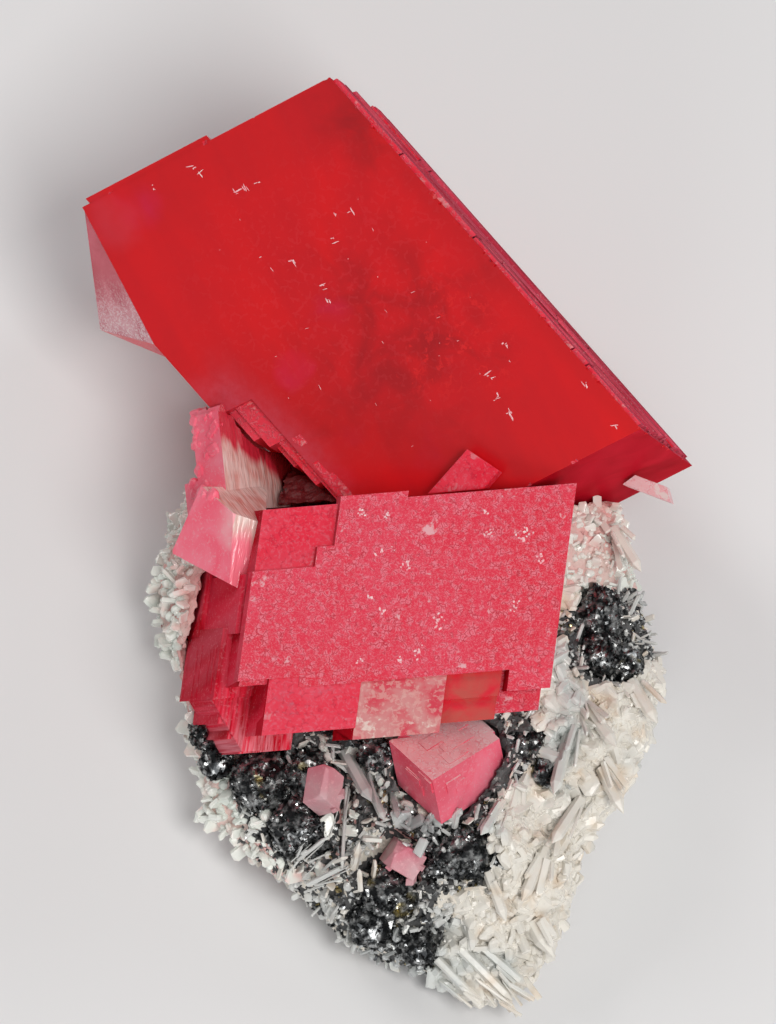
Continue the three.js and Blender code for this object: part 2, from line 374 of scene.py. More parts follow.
    @classmethod
    def roughen(cls, piece: Piece, name: str, grain: float, depth: float, group: str = "") -> None:
        """Displaces a piece's surface by a cloudy pattern.

        Args:
            piece: The piece to change.
            name: The pattern's name.
            grain: The size of its lumps.
            depth: From its lowest to its highest place.
            group: The vertex group that it is kept to, if any.
        """
        texture = bpy.data.textures.new(name, "CLOUDS")
        texture.noise_scale = grain * MM
        texture.noise_depth = 2
        cls.apply(
            piece,
            "DISPLACE",
            texture=texture,
            texture_coords="LOCAL",
            strength=depth * MM,
            mid_level=0.6,
            vertex_group=group,
        )


@dataclass
class Seeds:
    """Small crystals modelled once, of which a druse is made.

    Attributes:
        meshes: The prototypes, about a millimetre across and standing along +Z, in millimetres.
    """

    meshes: list[bpy.types.Mesh]

    def scatter(self, name: str, places: Sequence[Place]) -> Piece:
        """One joined mesh with a copy of a prototype at each place.

        Args:
            name: The joined piece's name.
            places: The prototype's number and its step from prototype to row frame, for each copy.

        Returns:
            The joined piece.
        """
        corners, loops, sizes = [], [], []
        shapes = [self._arrays(mesh) for mesh in self.meshes]
        start = 0
        for kind, matrix in places:
            co, ring, counts = shapes[kind % len(shapes)]
            step = np.array(matrix)
            corners.append(co @ step[:3, :3].T + step[:3, 3])
            loops.append(ring + start)
            sizes.append(counts)
            start += len(co)
        mesh = bpy.data.meshes.new(name)
        points, ring, counts = np.concatenate(corners), np.concatenate(loops), np.concatenate(sizes)
        mesh.vertices.add(len(points))
        mesh.vertices.foreach_set("co", points.astype(np.float32).ravel())
        mesh.loops.add(len(ring))
        mesh.loops.foreach_set("vertex_index", ring.astype(np.int32))
        mesh.polygons.add(len(counts))
        mesh.polygons.foreach_set("loop_start", (np.cumsum(counts) - counts).astype(np.int32))
        mesh.update(calc_edges=True)
        mesh.validate()
        piece = bpy.data.objects.new(name, mesh)
        bpy.context.scene.collection.objects.link(piece)
        Bench.take(piece)
        bpy.ops.object.shade_flat()
        return piece

    @staticmethod
    def _arrays(mesh: bpy.types.Mesh) -> tuple[np.ndarray, np.ndarray, np.ndarray]:
        """Reads a prototype in a fixed order, because edit-mode operators number its corners by chance.

        Args:
            mesh: The prototype.

        Returns:
            Its corners, its faces' corner numbers in a row, and each face's size.
        """
        corners = [tuple(round(part, 6) for part in corner.co) for corner in mesh.vertices]
        order = sorted(range(len(corners)), key=corners.__getitem__)
        rank = {old: new for new, old in enumerate(order)}
        rings = []
        for face in mesh.polygons:
            ring = [rank[number] for number in face.vertices]
            first = ring.index(min(ring))
            rings.append(ring[first:] + ring[:first])
        rings.sort()
        counts = np.array([len(ring) for ring in rings])
        return np.array([corners[old] for old in order]), np.concatenate(rings), counts


class SeedShapes:
    """The prototypes of the small crystals, in millimetres, standing on the origin along +Z."""

    @staticmethod
    def _taken(name: str) -> bpy.types.Mesh:
        """Keeps the active primitive's mesh and removes its object.

        Args:
            name: The mesh's new name.

        Returns:
            The mesh.
        """
        piece = bpy.context.object
        Bench.take(piece)
        bpy.ops.object.transform_apply(location=True, rotation=True, scale=True)
        mesh = piece.data
        mesh.name = name
        bpy.data.objects.remove(piece)
        return mesh

    @classmethod
    def prism(cls, name: str, length: float, taper: float, lean: float) -> bpy.types.Mesh:
        """A six-sided quartz prism with an uneven point.

        Args:
            name: The mesh's name.
            length: Its length in base widths.
            taper: The share of its width left at the shoulder.
            lean: How far its point stands off the axis.
        """
        Bench.clear()
        bpy.ops.mesh.primitive_cylinder_add(vertices=6, radius=0.5, depth=length, location=(0, 0, length / 2))
        piece = bpy.context.object

        def point_up() -> None:
            """Raises the top face to an uneven point."""
            Bench.select_faces(piece, lambda face: face.normal.z > 0.9)
            bpy.ops.transform.resize(value=(taper, taper, 1))
            bpy.ops.mesh.extrude_region_move(TRANSFORM_OT_translate={"value": (lean, lean / 2, 0.55)})
            bpy.ops.transform.resize(value=(0.12, 0.3, 1))

        Bench.edit(piece, point_up)
        return cls._taken(name)

    @classmethod
    def blade(cls, name: str, length: float, width: float, slant: float) -> bpy.types.Mesh:
        """A flat blade of milky quartz with a slanting chisel end and one flat side raised a little.

        Args:
            name: The mesh's name.
            length: Its length.
            width: Its width across the flat side, for a thickness of about one third.
            slant: How far one corner of its end stands higher than the other.
        """
        Bench.clear()
        bpy.ops.mesh.primitive_cube_add(size=1, location=(0, 0, length / 2), scale=(width, 0.36, length))
        piece = bpy.context.object
        bpy.ops.object.transform_apply(location=True, rotation=False, scale=True)

        def chisel() -> None:
            """Raises the top face to a slanting edge."""
            Bench.select_faces(piece, lambda face: face.normal.z > 0.9)
            bpy.ops.mesh.extrude_region_move(TRANSFORM_OT_translate={"value": (slant * 0.4, 0.05, 0.4)})
            bpy.ops.transform.resize(value=(0.5, 0.2, 1))

        def trim() -> None:
            """Cuts the end at a slant."""
            bpy.ops.mesh.bisect(
                plane_co=(0, 0, length + 0.15), plane_no=(slant, 0.1, 1), use_fill=True, clear_outer=True
            )

        def ridge() -> None:
            """Raises one flat side a little."""
            Bench.select_faces(piece, lambda face: face.normal.y > 0.9)
            bpy.ops.mesh.inset(thickness=width * 0.22, depth=0.09)

        Bench.edit(piece, chisel, trim, ridge)
        return cls._taken(name)

    @classmethod
    def grain(cls, name: str, sides: int, cut: float) -> bpy.types.Mesh:
        """A stubby sulphide crystal: a squat pyramid with its point cut off.

        Args:
            name: The mesh's name.
            sides: The sides of its base.
            cut: The share of its width left where the point is cut off.
        """
        Bench.clear()
        bpy.ops.mesh.primitive_cone_add(
            vertices=sides, radius1=0.62, radius2=0.62 * cut, depth=0.9, location=(0, 0, 0.3)
        )
        piece = bpy.context.object

        def slice_off() -> None:
            """Cuts one side off near the point."""
            bpy.ops.mesh.bisect(
                plane_co=(0.3, 0, 0.55), plane_no=(1, 0.3, 0.8), use_fill=True, clear_outer=True
            )

        Bench.edit(piece, slice_off)
        return cls._taken(name)

    @classmethod
    def rhomb(cls, name: str, eased: float = 0.05) -> bpy.types.Mesh:
        """A small rhombohedron with eased edges.

        Args:
            name: The mesh's name.
            eased: The width of its bevels.
        """
        Bench.clear()
        bpy.ops.mesh.primitive_cube_add(size=0.9, location=(0, 0, 0.3))
        piece = bpy.context.object
        Bench.edit(piece, lambda: bpy.ops.mesh.bevel(offset=eased, segments=1, affect="EDGES"))
        mesh = cls._taken(name)
        mesh.transform(Matrix(((1, 0.22, 0.18, 0), (0, 1, 0.2, 0), (0, 0, 1, 0), (0, 0, 0, 1))))
        return mesh

    @classmethod
    def knob(cls, name: str, seed: int) -> bpy.types.Mesh:
        """A rounded glassy bump.

        Args:
            name: The mesh's name.
            seed: The seed of its unevenness.
        """
        Bench.clear()
        bpy.ops.mesh.primitive_ico_sphere_add(subdivisions=2, radius=0.55, location=(0, 0, 0.2))
        piece = bpy.context.object
        for corner in piece.data.vertices:
            corner.co *= 1 + 0.32 * noise.noise(corner.co * 2.1 + Vector((seed, seed / 2, 0)))
        return cls._taken(name)


@dataclass(frozen=True)
class Spot:
    """A place on a surface.

    Attributes:
        point: The place, in metres.
        normal: The surface's unit normal there.
    """

    point: Vector
    normal: Vector


class Surface:
    """Draws evenly spread places on a mesh."""

    def __init__(self, piece: Piece, seed: int) -> None:
        """Reads a mesh.

        Args:
            piece: The piece whose surface is used.
            seed: The seed of the draws.
        """
        mesh = piece.data
        mesh.calc_loop_triangles()
        co = np.zeros(len(mesh.vertices) * 3)
        mesh.vertices.foreach_get("co", co)
        corners = np.zeros(len(mesh.loop_triangles) * 3, int)
        mesh.loop_triangles.foreach_get("vertices", corners)
        self.triangles = co.reshape(-1, 3)[corners.reshape(-1, 3)]
        cross = np.cross(
            self.triangles[:, 1] - self.triangles[:, 0], self.triangles[:, 2] - self.triangles[:, 0]
        )
        self.areas = np.linalg.norm(cross, axis=1) / 2
        self.normals = cross / np.maximum(self.areas[:, None] * 2, 1e-18)
        self.random = np.random.default_rng(seed)

    @property
    def square_mm(self) -> float:
        """The whole surface in square millimetres."""
        return float(self.areas.sum()) / MM**2

    def spots(self, count: int, wanted: Callable[[Spot], bool] = lambda spot: True) -> list[Spot]:
        """Draws places.

        Args:
            count: How many places are drawn before the test.
            wanted: The test that a place has to pass.

        Returns:
            The places that pass.
        """
        chosen = self.random.choice(len(self.areas), size=count, p=self.areas / self.areas.sum())
        first, second = self.random.random(count), self.random.random(count)
        over = first + second > 1
        first[over], second[over] = 1 - first[over], 1 - second[over]
        corners = self.triangles[chosen]
        points = (
            corners[:, 0]
            + first[:, None] * (corners[:, 1] - corners[:, 0])
            + second[:, None] * (corners[:, 2] - corners[:, 0])
        )
        found = [Spot(Vector(p), Vector(n)) for p, n in zip(points, self.normals[chosen])]
        return [spot for spot in found if wanted(spot)]


def standing(
    point: Vector,
    direction: Vector,
    turn: float,
    size: Triple,
    sink: float,
    facing: Vector = Vector((0, 0, 1)),
) -> Matrix:
    """The step that stands a prototype on a surface.

    Args:
        point: Where it stands, in metres.
        direction: The way its axis points.
        turn: Its turn about its axis, in radians.
        size: Its sizes along its own axes.
        sink: How deep its foot is in the surface.
        facing: The way that its Y side looks before the turn.

    Returns:
        The matrix from the prototype to the row frame.
    """
    axis = direction.normalized()
    side = (facing + Vector((0.001, 0.002, 0))).cross(axis).normalized()
    aim = Matrix((side, axis.cross(side), axis)).transposed().to_4x4()
    place = Matrix.Translation(point - axis * sink * MM)
    return place @ aim @ Matrix.Rotation(turn, 4, "Z") @ Matrix.Diagonal((*[s * MM for s in size], 1))


def tree_of(pieces: Sequence[Piece]) -> BVHTree:
    """Builds one search tree over several surfaces.

    Args:
        pieces: The pieces whose faces it holds.

    Returns:
        The tree.
    """
    corners, faces = [], []
    for piece in pieces:
        start = len(corners)
        corners.extend(v.co.copy() for v in piece.data.vertices)
        faces.extend([start + number for number in face.vertices] for face in piece.data.polygons)
    return BVHTree.FromPolygons(corners, faces)


# --------------------------------------------------------------------------------------------------------
# Finishes


class Nodes:
    """A short hand for building a node tree."""

    def __init__(self, tree: bpy.types.NodeTree) -> None:
        """Starts on a tree.

        Args:
            tree: The node tree of a material or a group.
        """
        self.tree = tree
        self.swirls: dict[float, Socket] = {}

    def add(
        self, kind: str, inputs: dict[str | int, object] | None = None, **settings: object
    ) -> bpy.types.Node:
        """Adds a node.

        Args:
            kind: The node's type without its ShaderNode prefix.
            inputs: Values or output sockets for its inputs, by name or number.
            settings: The node's own properties.

        Returns:
            The node.
        """
        node = self.tree.nodes.new(kind if kind.startswith("Node") else f"ShaderNode{kind}")
        for name, value in settings.items():
            setattr(node, name, value)
        for name, value in (inputs or {}).items():
            self.set(node.inputs[name], value)
        return node

    def set(self, socket: Socket, value: object) -> None:
        """Links a socket to an input, or sets the input's value."""
        if isinstance(value, Socket):
            self.tree.links.new(value, socket)
        else:
            socket.default_value = value

    def math(self, operation: str, *values: object, clamp: bool = False) -> Socket:
        """The result of a Math node on values or sockets."""
        return self.add("Math", dict(enumerate(values)), operation=operation, use_clamp=clamp).outputs[0]

    def times(self, first: object, second: object) -> Socket:
        """The product of two values or sockets."""
        return self.math("MULTIPLY", first, second)

    def most(self, *values: object) -> Socket:
        """The greatest of several values or sockets."""
        return functools.reduce(lambda first, second: self.math("MAXIMUM", first, second), values)

    def ramp(self, value: object, low: object, high: object) -> Socket:
        """A value mapped smoothly from 0 at low to 1 at high."""
        inputs = {"Value": value, "From Min": low, "From Max": high}
        return self.add("MapRange", inputs, interpolation_type="SMOOTHSTEP").outputs["Result"]

    def mix(self, share: object, first: object, second: object) -> Socket:
        """A colour mixed from two.

        Args:
            share: How much of the second there is.
            first: A colour or a socket.
            second: A colour or a socket.

        Returns:
            The mixed colour.
        """
        node = self.add("Mix", data_type="RGBA", clamp_factor=True)
        self.set(node.inputs[0], share)
        for number, value in ((6, first), (7, second)):
            self.set(node.inputs[number], (*value, 1) if isinstance(value, tuple) else value)
        return node.outputs[2]

    def noise(self, vector: object, scale: object, detail: float = 2, **inputs: object) -> Socket:
        """The value of a noise texture."""
        values = {"Vector": vector, "Scale": scale, "Detail": detail, **inputs}
        return self.add("TexNoise", values).outputs[0]

    def bent(self, vector: object, scale: float, reach: float) -> Socket:
        """Coordinates bent by a noise, which is built once for each scale.

        Args:
            vector: The coordinates.
            scale: The noise's scale.
            reach: How far it bends them, in millimetres.

        Returns:
            The bent coordinates.
        """
        if scale not in self.swirls:
            swirl = self.add("TexNoise", {"Vector": vector, "Scale": scale, "Detail": 2.0})
            self.swirls[scale] = swirl.outputs["Color"]
        shift = (reach * MM,) * 3
        inputs = {0: self.swirls[scale], 1: shift, 2: vector}
        return self.add("VectorMath", inputs, operation="MULTIPLY_ADD").outputs[0]


class ShaderGroups:
    """The effects that more than one finish uses, each built once."""

    def __init__(self) -> None:
        """Starts with no group built."""
        self._built: dict[str, bpy.types.NodeTree] = {}

    def named(self, name: str) -> bpy.types.NodeTree:
        """A group, built the first time that it is asked for.

        Args:
            name: The group's name.

        Returns:
            Its node tree.
        """
        if name not in self._built:
            build = {
                "GrowthLines": self._growth_lines,
                "EtchedFrost": self._etched_frost,
                "Clouds": self._clouds,
            }
            build[name](name)
        return self._built[name]

    def _start(
        self, name: str, inputs: dict[str, object], outputs: Sequence[str]
    ) -> tuple[Nodes, Sockets]:
        """Opens a new group.

        Args:
            name: The group's name.
            inputs: The default value of each input, apart from the coordinates.
            outputs: The names of its outputs, all values.

        Returns:
            Its nodes and what it is given.
        """
        tree = bpy.data.node_groups.new(name, "ShaderNodeTree")
        for label, value in {"Vector": (0, 0, 0), **inputs}.items():
            kind = "Vector" if isinstance(value, tuple) else "Float"
            socket = tree.interface.new_socket(label, in_out="INPUT", socket_type=f"NodeSocket{kind}")
            socket.default_value = value
        for label in outputs:
            tree.interface.new_socket(label, in_out="OUTPUT", socket_type="NodeSocketFloat")
        self._built[name] = tree
        nodes = Nodes(tree)
        return nodes, nodes.add("NodeGroupInput").outputs

    def _growth_lines(self, name: str) -> None:
        """Growth lines on a crystal's side: they follow one direction and step across another."""
        inputs = {"Across": (1, 0, 0), "Along": (0, 1, 0), "Per mm": 1.0, "Stretch": 0.05}
        nodes, given = self._start(name, inputs, ("Lines", "Fine"))
        across = nodes.add("VectorMath", {0: given["Vector"], 1: given["Across"]}, operation="DOT_PRODUCT")
        along = nodes.add("VectorMath", {0: given["Vector"], 1: given["Along"]}, operation="DOT_PRODUCT")
        steps = nodes.times(across.outputs["Value"], given["Per mm"])
        drift = nodes.times(along.outputs["Value"], given["Stretch"])
        place = nodes.add("CombineXYZ", {0: steps, 1: drift}).outputs[0]
        coarse = nodes.noise(place, 1000, 3, Roughness=0.6)
        fine = nodes.noise(place, 3000, 2, Roughness=0.6)
        results = {"Lines": nodes.ramp(coarse, 0.38, 0.6), "Fine": nodes.ramp(fine, 0.34, 0.66)}
        nodes.add("NodeGroupOutput", results)

    def _etched_frost(self, name: str) -> None:
        """The frost of an etched face: fine flecks, broken cells and the lines in them, and spots."""
        inputs = {"Scale": 3000.0, "Cover": 0.5, "Spots": 0.3}
        nodes, given = self._start(name, inputs, ("Fleck", "Line", "Edge", "Spot"))
        bent = nodes.bent(given["Vector"], 900, 1.1)
        cells = nodes.noise(bent, given["Scale"], 3.0, Roughness=0.7)
        level = nodes.math("SUBTRACT", 1.0, given["Cover"])
        cracks = nodes.add(
            "TexVoronoi",
            {"Vector": nodes.bent(given["Vector"], 1700, 0.6), "Scale": nodes.times(given["Scale"], 0.36)},
            feature="DISTANCE_TO_EDGE",
        ).outputs["Distance"]
        edge = nodes.ramp(cracks, 0.13, 0.03)
        ring = nodes.math("SUBTRACT", nodes.ramp(cracks, 0.34, 0.18), edge, clamp=True)
        broken = nodes.ramp(nodes.noise(given["Vector"], 1300, 2), 0.46, 0.6)
        large = nodes.noise(bent, 330, 4, Roughness=0.7)
        floor = nodes.math("SUBTRACT", 1.0, given["Spots"])
        results = {
            "Fleck": nodes.ramp(cells, level, nodes.math("ADD", level, 0.12)),
            "Line": nodes.times(ring, broken),
            "Edge": nodes.times(edge, broken),
            "Spot": nodes.ramp(large, floor, nodes.math("ADD", floor, 0.06)),
        }
        nodes.add("NodeGroupOutput", results)

    def _clouds(self, name: str) -> None:
        """Soft clouds of colour inside a mineral, with a finer grain."""
        nodes, given = self._start(name, {"Scale": 90.0, "Contrast": 0.5}, ("Cloud", "Grain"))
        cloud = nodes.noise(given["Vector"], given["Scale"], 4.0, Distortion=0.6)
        spread = nodes.math("DIVIDE", 0.25, given["Contrast"])
        soft = nodes.ramp(cloud, nodes.math("SUBTRACT", 0.5, spread), nodes.math("ADD", 0.5, spread))
        results = {"Cloud": soft, "Grain": nodes.noise(given["Vector"], 1500, 3, Roughness=0.7)}
        nodes.add("NodeGroupOutput", results)


GROUPS = ShaderGroups()


@dataclass(frozen=True)
class Gem:
    """The plain values of a mineral.

    Attributes:
        transmission: How much of the light that isn't reflected goes through.
        ior: Its index of refraction.
        roughness: Its roughness where a finish doesn't vary it.
        absorbed: The share of red, green and blue light taken away, for a density of one.
        density: The absorption's density per metre; none if zero.
        coat: The weight of a clear outer lustre.
        shine: The level of its plain reflection, 0.5 for what its IOR gives.
    """

    transmission: float = 0.0
    ior: float = 1.55
    roughness: float = 0.3
    absorbed: Colour = (0.0, 0.0, 0.0)
    density: float = 0.0
    coat: float = 0.0
    shine: float = 0.4


class Finish(Nodes):
    """A material of one Principled shader with Object coordinates; kinds of finish extend it."""

    name = "finish"
    gem = Gem()
    metallic = 0.0
    across = Vector((1, 0, 0))
    along_lines = Vector((0, 1, 0))

    def __init__(self) -> None:
        """Builds the material."""
        self.material = bpy.data.materials.new(self.name)
        self.material.use_nodes = True
        tree = self.material.node_tree
        tree.nodes.clear()
        super().__init__(tree)
        self.shader = self.add("BsdfPrincipled")
        self.output = self.add("OutputMaterial", {"Surface": self.shader.outputs[0]})
        self.place = self.add("TexCoord").outputs["Object"]
        self._set_plain_values()
        self.paint()

    def _set_plain_values(self) -> None:
        """Sets the values that are the same all over, on the shader's own sockets."""
        values = {
            "Transmission Weight": self.gem.transmission,
            "IOR": self.gem.ior,
            "Roughness": self.gem.roughness,
            "Metallic": self.metallic,
            "Coat Weight": self.gem.coat,
            "Specular IOR Level": self.gem.shine,
        }
        for name, value in values.items():
            self.shader.inputs[name].default_value = value
        if self.gem.density:
            colour = [1 - share for share in self.gem.absorbed]
            volume = self.add("VolumeAbsorption", {"Color": (*colour, 1), "Density": self.gem.density})
            self.set(self.output.inputs["Volume"], volume.outputs[0])

    def paint(self) -> None:
        """Builds what varies over the surface."""
        raise NotImplementedError

    def feed(self, name: str, value: Socket) -> None:
        """Links a socket to one of the shader's inputs."""
        self.set(self.shader.inputs[name], value)

    def group(self, name: str, **inputs: object) -> Sockets:
        """Places a shader group and returns its outputs.

        Args:
            name: The group's name.
            inputs: Its values, with _ for a space in a name.
        """
        node = self.add("Group", node_tree=GROUPS.named(name))
        self.set(node.inputs["Vector"], self.place)
        for label, value in inputs.items():
            node.inputs[label.replace("_", " ")].default_value = value
        return node.outputs

    def clouds(self, scale: float, contrast: float) -> Sockets:
        """Soft clouds with a finer grain."""
        return self.group("Clouds", Scale=scale, Contrast=contrast)

    def frost(self, scale: float, cover: float, spots: float) -> Sockets:
        """The frost of an etched face: flecks, lines, cell edges and larger spots."""
        return self.group("EtchedFrost", Scale=scale, Cover=cover, Spots=spots)

    def lines(self, per_mm: float, stretch: float) -> Sockets:
        """Growth lines along the finish's own direction."""
        ways = {"Across": self.across, "Along": self.along_lines}
        return self.group("GrowthLines", **ways, Per_mm=per_mm, Stretch=stretch)

    def over(self, tone: object, mask: object, share: float, colour: Colour) -> Socket:
        """A tone with another colour laid over it, as strongly as a share of a mask."""
        return self.mix(mask if share == 1 else self.times(mask, share), tone, colour)

    def colour(self, *mixed: object) -> None:
        """Links the base colour, given as one socket or as a share and the two colours it mixes."""
        self.feed("Base Color", self.mix(*mixed) if len(mixed) > 1 else mixed[0])

    def relief(self, height: Socket, depth: float) -> None:
        """Raises the surface's shading by a height of 0 to 1.

        Args:
            height: The height.
            depth: What a height of 1 stands for, in millimetres.
        """
        self.feed("Normal", self.add("Bump", {"Height": height, "Distance": depth * MM}).outputs[0])

    def near(self, point: Triple, radius: float, ragged: float = 0.0) -> Socket:
        """A soft ball that is 1 at its middle and 0 outside.

        Args:
            point: Its middle, in the face-on frame.
            radius: Its radius.
            ragged: How far its edge is bent by a noise.
        """
        place = self.bent(self.place, 230, ragged) if ragged else self.place
        centre = SHOWING.point(*point) + Vector((1, 1, 1)) * ragged * MM / 2
        away = self.add("VectorMath", {0: place, 1: centre}, operation="DISTANCE").outputs["Value"]
        return self.ramp(away, radius * MM, radius * 0.15 * MM)

    def patches(self, *balls: tuple[Triple, float, float]) -> Socket:
        """Several soft balls as one, each with its middle, radius and raggedness."""
        return self.most(*(self.near(*ball) for ball in balls))

    def along(self, start: Triple, stop: Triple) -> Socket:
        """A value that grows smoothly along a line.

        Args:
            start: Where it is 0, in the face-on frame.
            stop: Where it is 1, in the face-on frame.

        Returns:
            The value.
        """
        first, last = SHOWING.point(*start), SHOWING.point(*stop)
        way = (last - first).normalized()
        reach = self.add("VectorMath", {0: self.place, 1: way}, operation="DOT_PRODUCT").outputs["Value"]
        return self.ramp(reach, first.dot(way), last.dot(way))


GRAND_GEM = Gem(0.45, 1.65, 0.3, (0.01, 1.0, 0.92), 220.0)
FROSTED_GEM = Gem(0.22, 1.6, 0.42, (0.01, 0.95, 0.85), 500.0)
PALE_GEM = Gem(0.12, 1.6, 0.3, (0.02, 0.7, 0.6), 200.0, shine=0.25)


class ClearRed(Finish):
    """The large crystal's clear, deep red body."""

    name = "clear_red_rhodochrosite"
    gem = GRAND_GEM
    across = SHOWING.direction(*GRAND.across)
    along_lines = SHOWING.direction(*GRAND.down)

    def paint(self) -> None:
        """Soft brownish clouds, brighter flames and a few magenta blushes in a saturated red."""
        clouds = self.clouds(62.0, 0.9)
        fine = self.clouds(190.0, 1.6)
        red = self.mix(clouds["Cloud"], (1.0, 0.005, 0.01), (0.84, 0.007, 0.016))
        smoke = self.patches(((1, 22, -10), 17, 9), ((-8.5, 12, -11), 9, 8), ((-2, 44, -9), 8, 6))
        brown = self.mix(self.times(self.times(smoke, fine["Cloud"]), 0.62), red, (0.36, 0.006, 0.012))
        flames = self.times(self.near((8, 21.5, -11), 10, 8), self.frost(900.0, 0.45, 0.3)["Fleck"])
        bright = self.mix(flames, brown, (1.0, 0.018, 0.022))
        blushes = self.patches(
            ((10.3, 23.2, -12), 1.2, 1.5),
            ((-27.2, 36, -17), 4.5, 7),
            ((-11, 17.5, -15), 3.4, 6),
            ((-7, 25, -13), 3.5, 6),
            ((-4.5, 8.5, -13), 5, 6),
            ((4, 8.5, -11), 4, 6),
        )
        blush = self.times(blushes, fine["Cloud"])
        magenta = self.over(bright, blush, 0.6, (0.98, 0.02, 0.13))
        zoned = self.over(magenta, self.lines(0.13, 0.02)["Lines"], 0.16, (0.45, 0.004, 0.02))
        worn = self.times(self.near((-5, 25, -10), 25, 9), self.frost(2300.0, 0.45, 0.3)["Edge"])
        scratched = self.over(zoned, worn, 0.12, (1.0, 0.1, 0.15))
        band = self.times(self.along((-8.9, 14.4, -15), (-12.2, 10.7, -15)), fine["Grain"])
        band = self.times(self.near((-13, 11, -15), 14, 8), band)
        band = self.math("MULTIPLY_ADD", band, 1.5, self.times(self.near((-30, 33.5, -18), 5, 6), 0.3))
        self.colour(band, scratched, (0.92, 0.11, 0.18))
        self.relief(clouds["Grain"], 0.004)


class StriatedSide(Finish):
    """The large crystal's long side: dull pink growth layers, with painted shade in dark red lines between
    them.
    """

    name = "striated_red_side"
    gem = Gem(0.0, 1.6, 0.6, GRAND_GEM.absorbed, GRAND_GEM.density, shine=0.0)
    across = GRAND.normal(GRAND.across, GRAND.down)
    along_lines = SHOWING.direction(*GRAND.down)

    def paint(self) -> None:
        """Pale lines for the layers' frosted ledges, and dark lines of painted shade between the layers."""
        lines = self.lines(0.7, 0.025)
        # painted shade: the dark red tone stands for the shadows between the growth layers
        base = self.mix(lines["Lines"], (0.24, 0.004, 0.014), (0.66, 0.05, 0.1))
        pink = self.over(base, lines["Fine"], 0.4, (0.8, 0.22, 0.29))
        self.colour(self.over(pink, self.frost(3800.0, 0.44, 0.3)["Fleck"], 0.35, (0.85, 0.46, 0.5)))
        self.relief(lines["Fine"], 0.12)


class Clouded(Finish):
    """Two clouded tones, with layers of etched frost over them.

    Attributes:
        cloud: The clouds' scale and contrast.
        tones: The two tones that they mix.
        etching: The frost's scale, cover and spots.
        layers: The mark of the frost or the soft ball that each layer follows, how strongly,
            and its colour.
        raised: The pattern that the relief follows and its depth.
    """

    cloud = (200.0, 0.8)
    tones: tuple[Colour, Colour]
    etching = (2600.0, 0.5, 0.42)
    layers: tuple[tuple[str | tuple, float, Colour], ...] = ()
    raised = ("Grain", 0.015)

    def paint(self) -> None:
        """Lays the frost over the clouds."""
        marks = dict(self.clouds(*self.cloud).items())
        if self.layers:
            marks.update(self.frost(*self.etching).items())
            self.add_marks(marks)
        tone = self.mix(marks["Cloud"], *self.tones)
        for mark, share, colour in self.layers:
            mask = marks[mark] if isinstance(mark, str) else self.near(*mark)
            tone = self.over(tone, mask, share, colour)
        self.colour(tone)
        self.relief(marks[self.raised[0]], self.raised[1])

    def add_marks(self, marks: dict[str, Socket]) -> None:
        """Adds a finish's own marks, under the name Own, to those of the clouds and the frost."""


class EdgeBloom(Clouded):
    """The frosted, paler terraces along the large crystal's lower left edge: pale flecks over pink."""

    name = "frosted_edge_bloom"
    gem = Gem(0.15, 1.6, 0.35)
    cloud = (260.0, 1.0)
    tones = ((0.88, 0.014, 0.04), (0.86, 0.07, 0.12))
    layers = (("Fleck", 0.35, (0.86, 0.26, 0.32)), ("Spot", 0.5, (0.9, 0.5, 0.5)))
    raised = ("Fleck", 0.05)


class SheenPaintedEnd(Finish):
    """The large crystal's broken left end, dusky above and white below, where the white is partly frost and
    partly a painted sheen.
    """

    name = "frost_and_painted_sheen_end"
    gem = Gem(0.12, 1.6, 0.24, GRAND_GEM.absorbed, GRAND_GEM.density, 0.35)

    def paint(self) -> None:
        """Dusky pink that turns white downwards, partly frost and partly painted sheen, with smudges."""
        clouds = self.clouds(230.0, 1.0)
        frost = self.frost(3600.0, 0.52, 0.25)
        down = self.along((-30, 30, -18), (-30, 22, -18))
        upper = self.mix(clouds["Cloud"], (0.5, 0.025, 0.055), (0.68, 0.1, 0.15))
        # painted sheen: the pale lower tone and its white flecks stand partly for light that this end
        # reflects, partly for its frost
        lower = self.mix(clouds["Cloud"], (0.5, 0.1, 0.15), (0.76, 0.45, 0.49))
        base = self.mix(down, upper, lower)
        self.colour(self.over(base, self.times(frost["Fleck"], down), 0.6, (0.85, 0.78, 0.78)))
        self.relief(clouds["Grain"], 0.03)


class FrostedPink(Clouded):
    """The front crystal's etched face: fine pale flecks, broken lines and white spots over pink."""

    name = "frosted_pink_rhodochrosite"
    gem = FROSTED_GEM
    cloud = (110.0, 0.9)
    tones = ((0.84, 0.008, 0.04), (0.88, 0.035, 0.09))
    etching = (5000.0, 0.46, 0.36)
    layers = (
        ("Edge", 0.55, (0.5, 0.002, 0.02)),
        ("Own", 1, (0.95, 0.34, 0.43)),
        ("Spot", 0.85, (0.92, 0.52, 0.56)),
    )
    raised = ("Fleck", 0.012)

    def add_marks(self, marks: dict[str, Socket]) -> None:
        """Flecks, lines and still finer flecks as one mark."""
        fine = self.times(self.frost(6200.0, 0.47, 0.3)["Fleck"], 0.55)
        marks["Own"] = self.most(self.times(marks["Fleck"], 0.45), self.times(marks["Line"], 0.6), fine)


class TanFrost(Clouded):
    """The whitish tan crust on the front crystal's lowest step, broken by red patches."""

    name = "pale_tan_frost"
    gem = FROSTED_GEM
    cloud = (330.0, 1.6)
    tones = ((0.74, 0.04, 0.08), (0.74, 0.28, 0.28))
    etching = (1500.0, 0.52, 0.4)
    layers = (("Fleck", 0.5, (0.84, 0.5, 0.45)), ("Spot", 1, (0.88, 0.66, 0.6)))
    raised = ("Fleck", 0.015)


class AmberRed(Clouded):
    """The clear, brownish orange zone low on the front crystal."""

    name = "amber_red_zone"
    gem = Gem(0.35, 1.6, 0.18, FROSTED_GEM.absorbed, FROSTED_GEM.density)
    cloud = (420.0, 1.1)
    tones = ((1.0, 0.015, 0.05), (0.74, 0.12, 0.1))
    raised = ("Grain", 0.02)


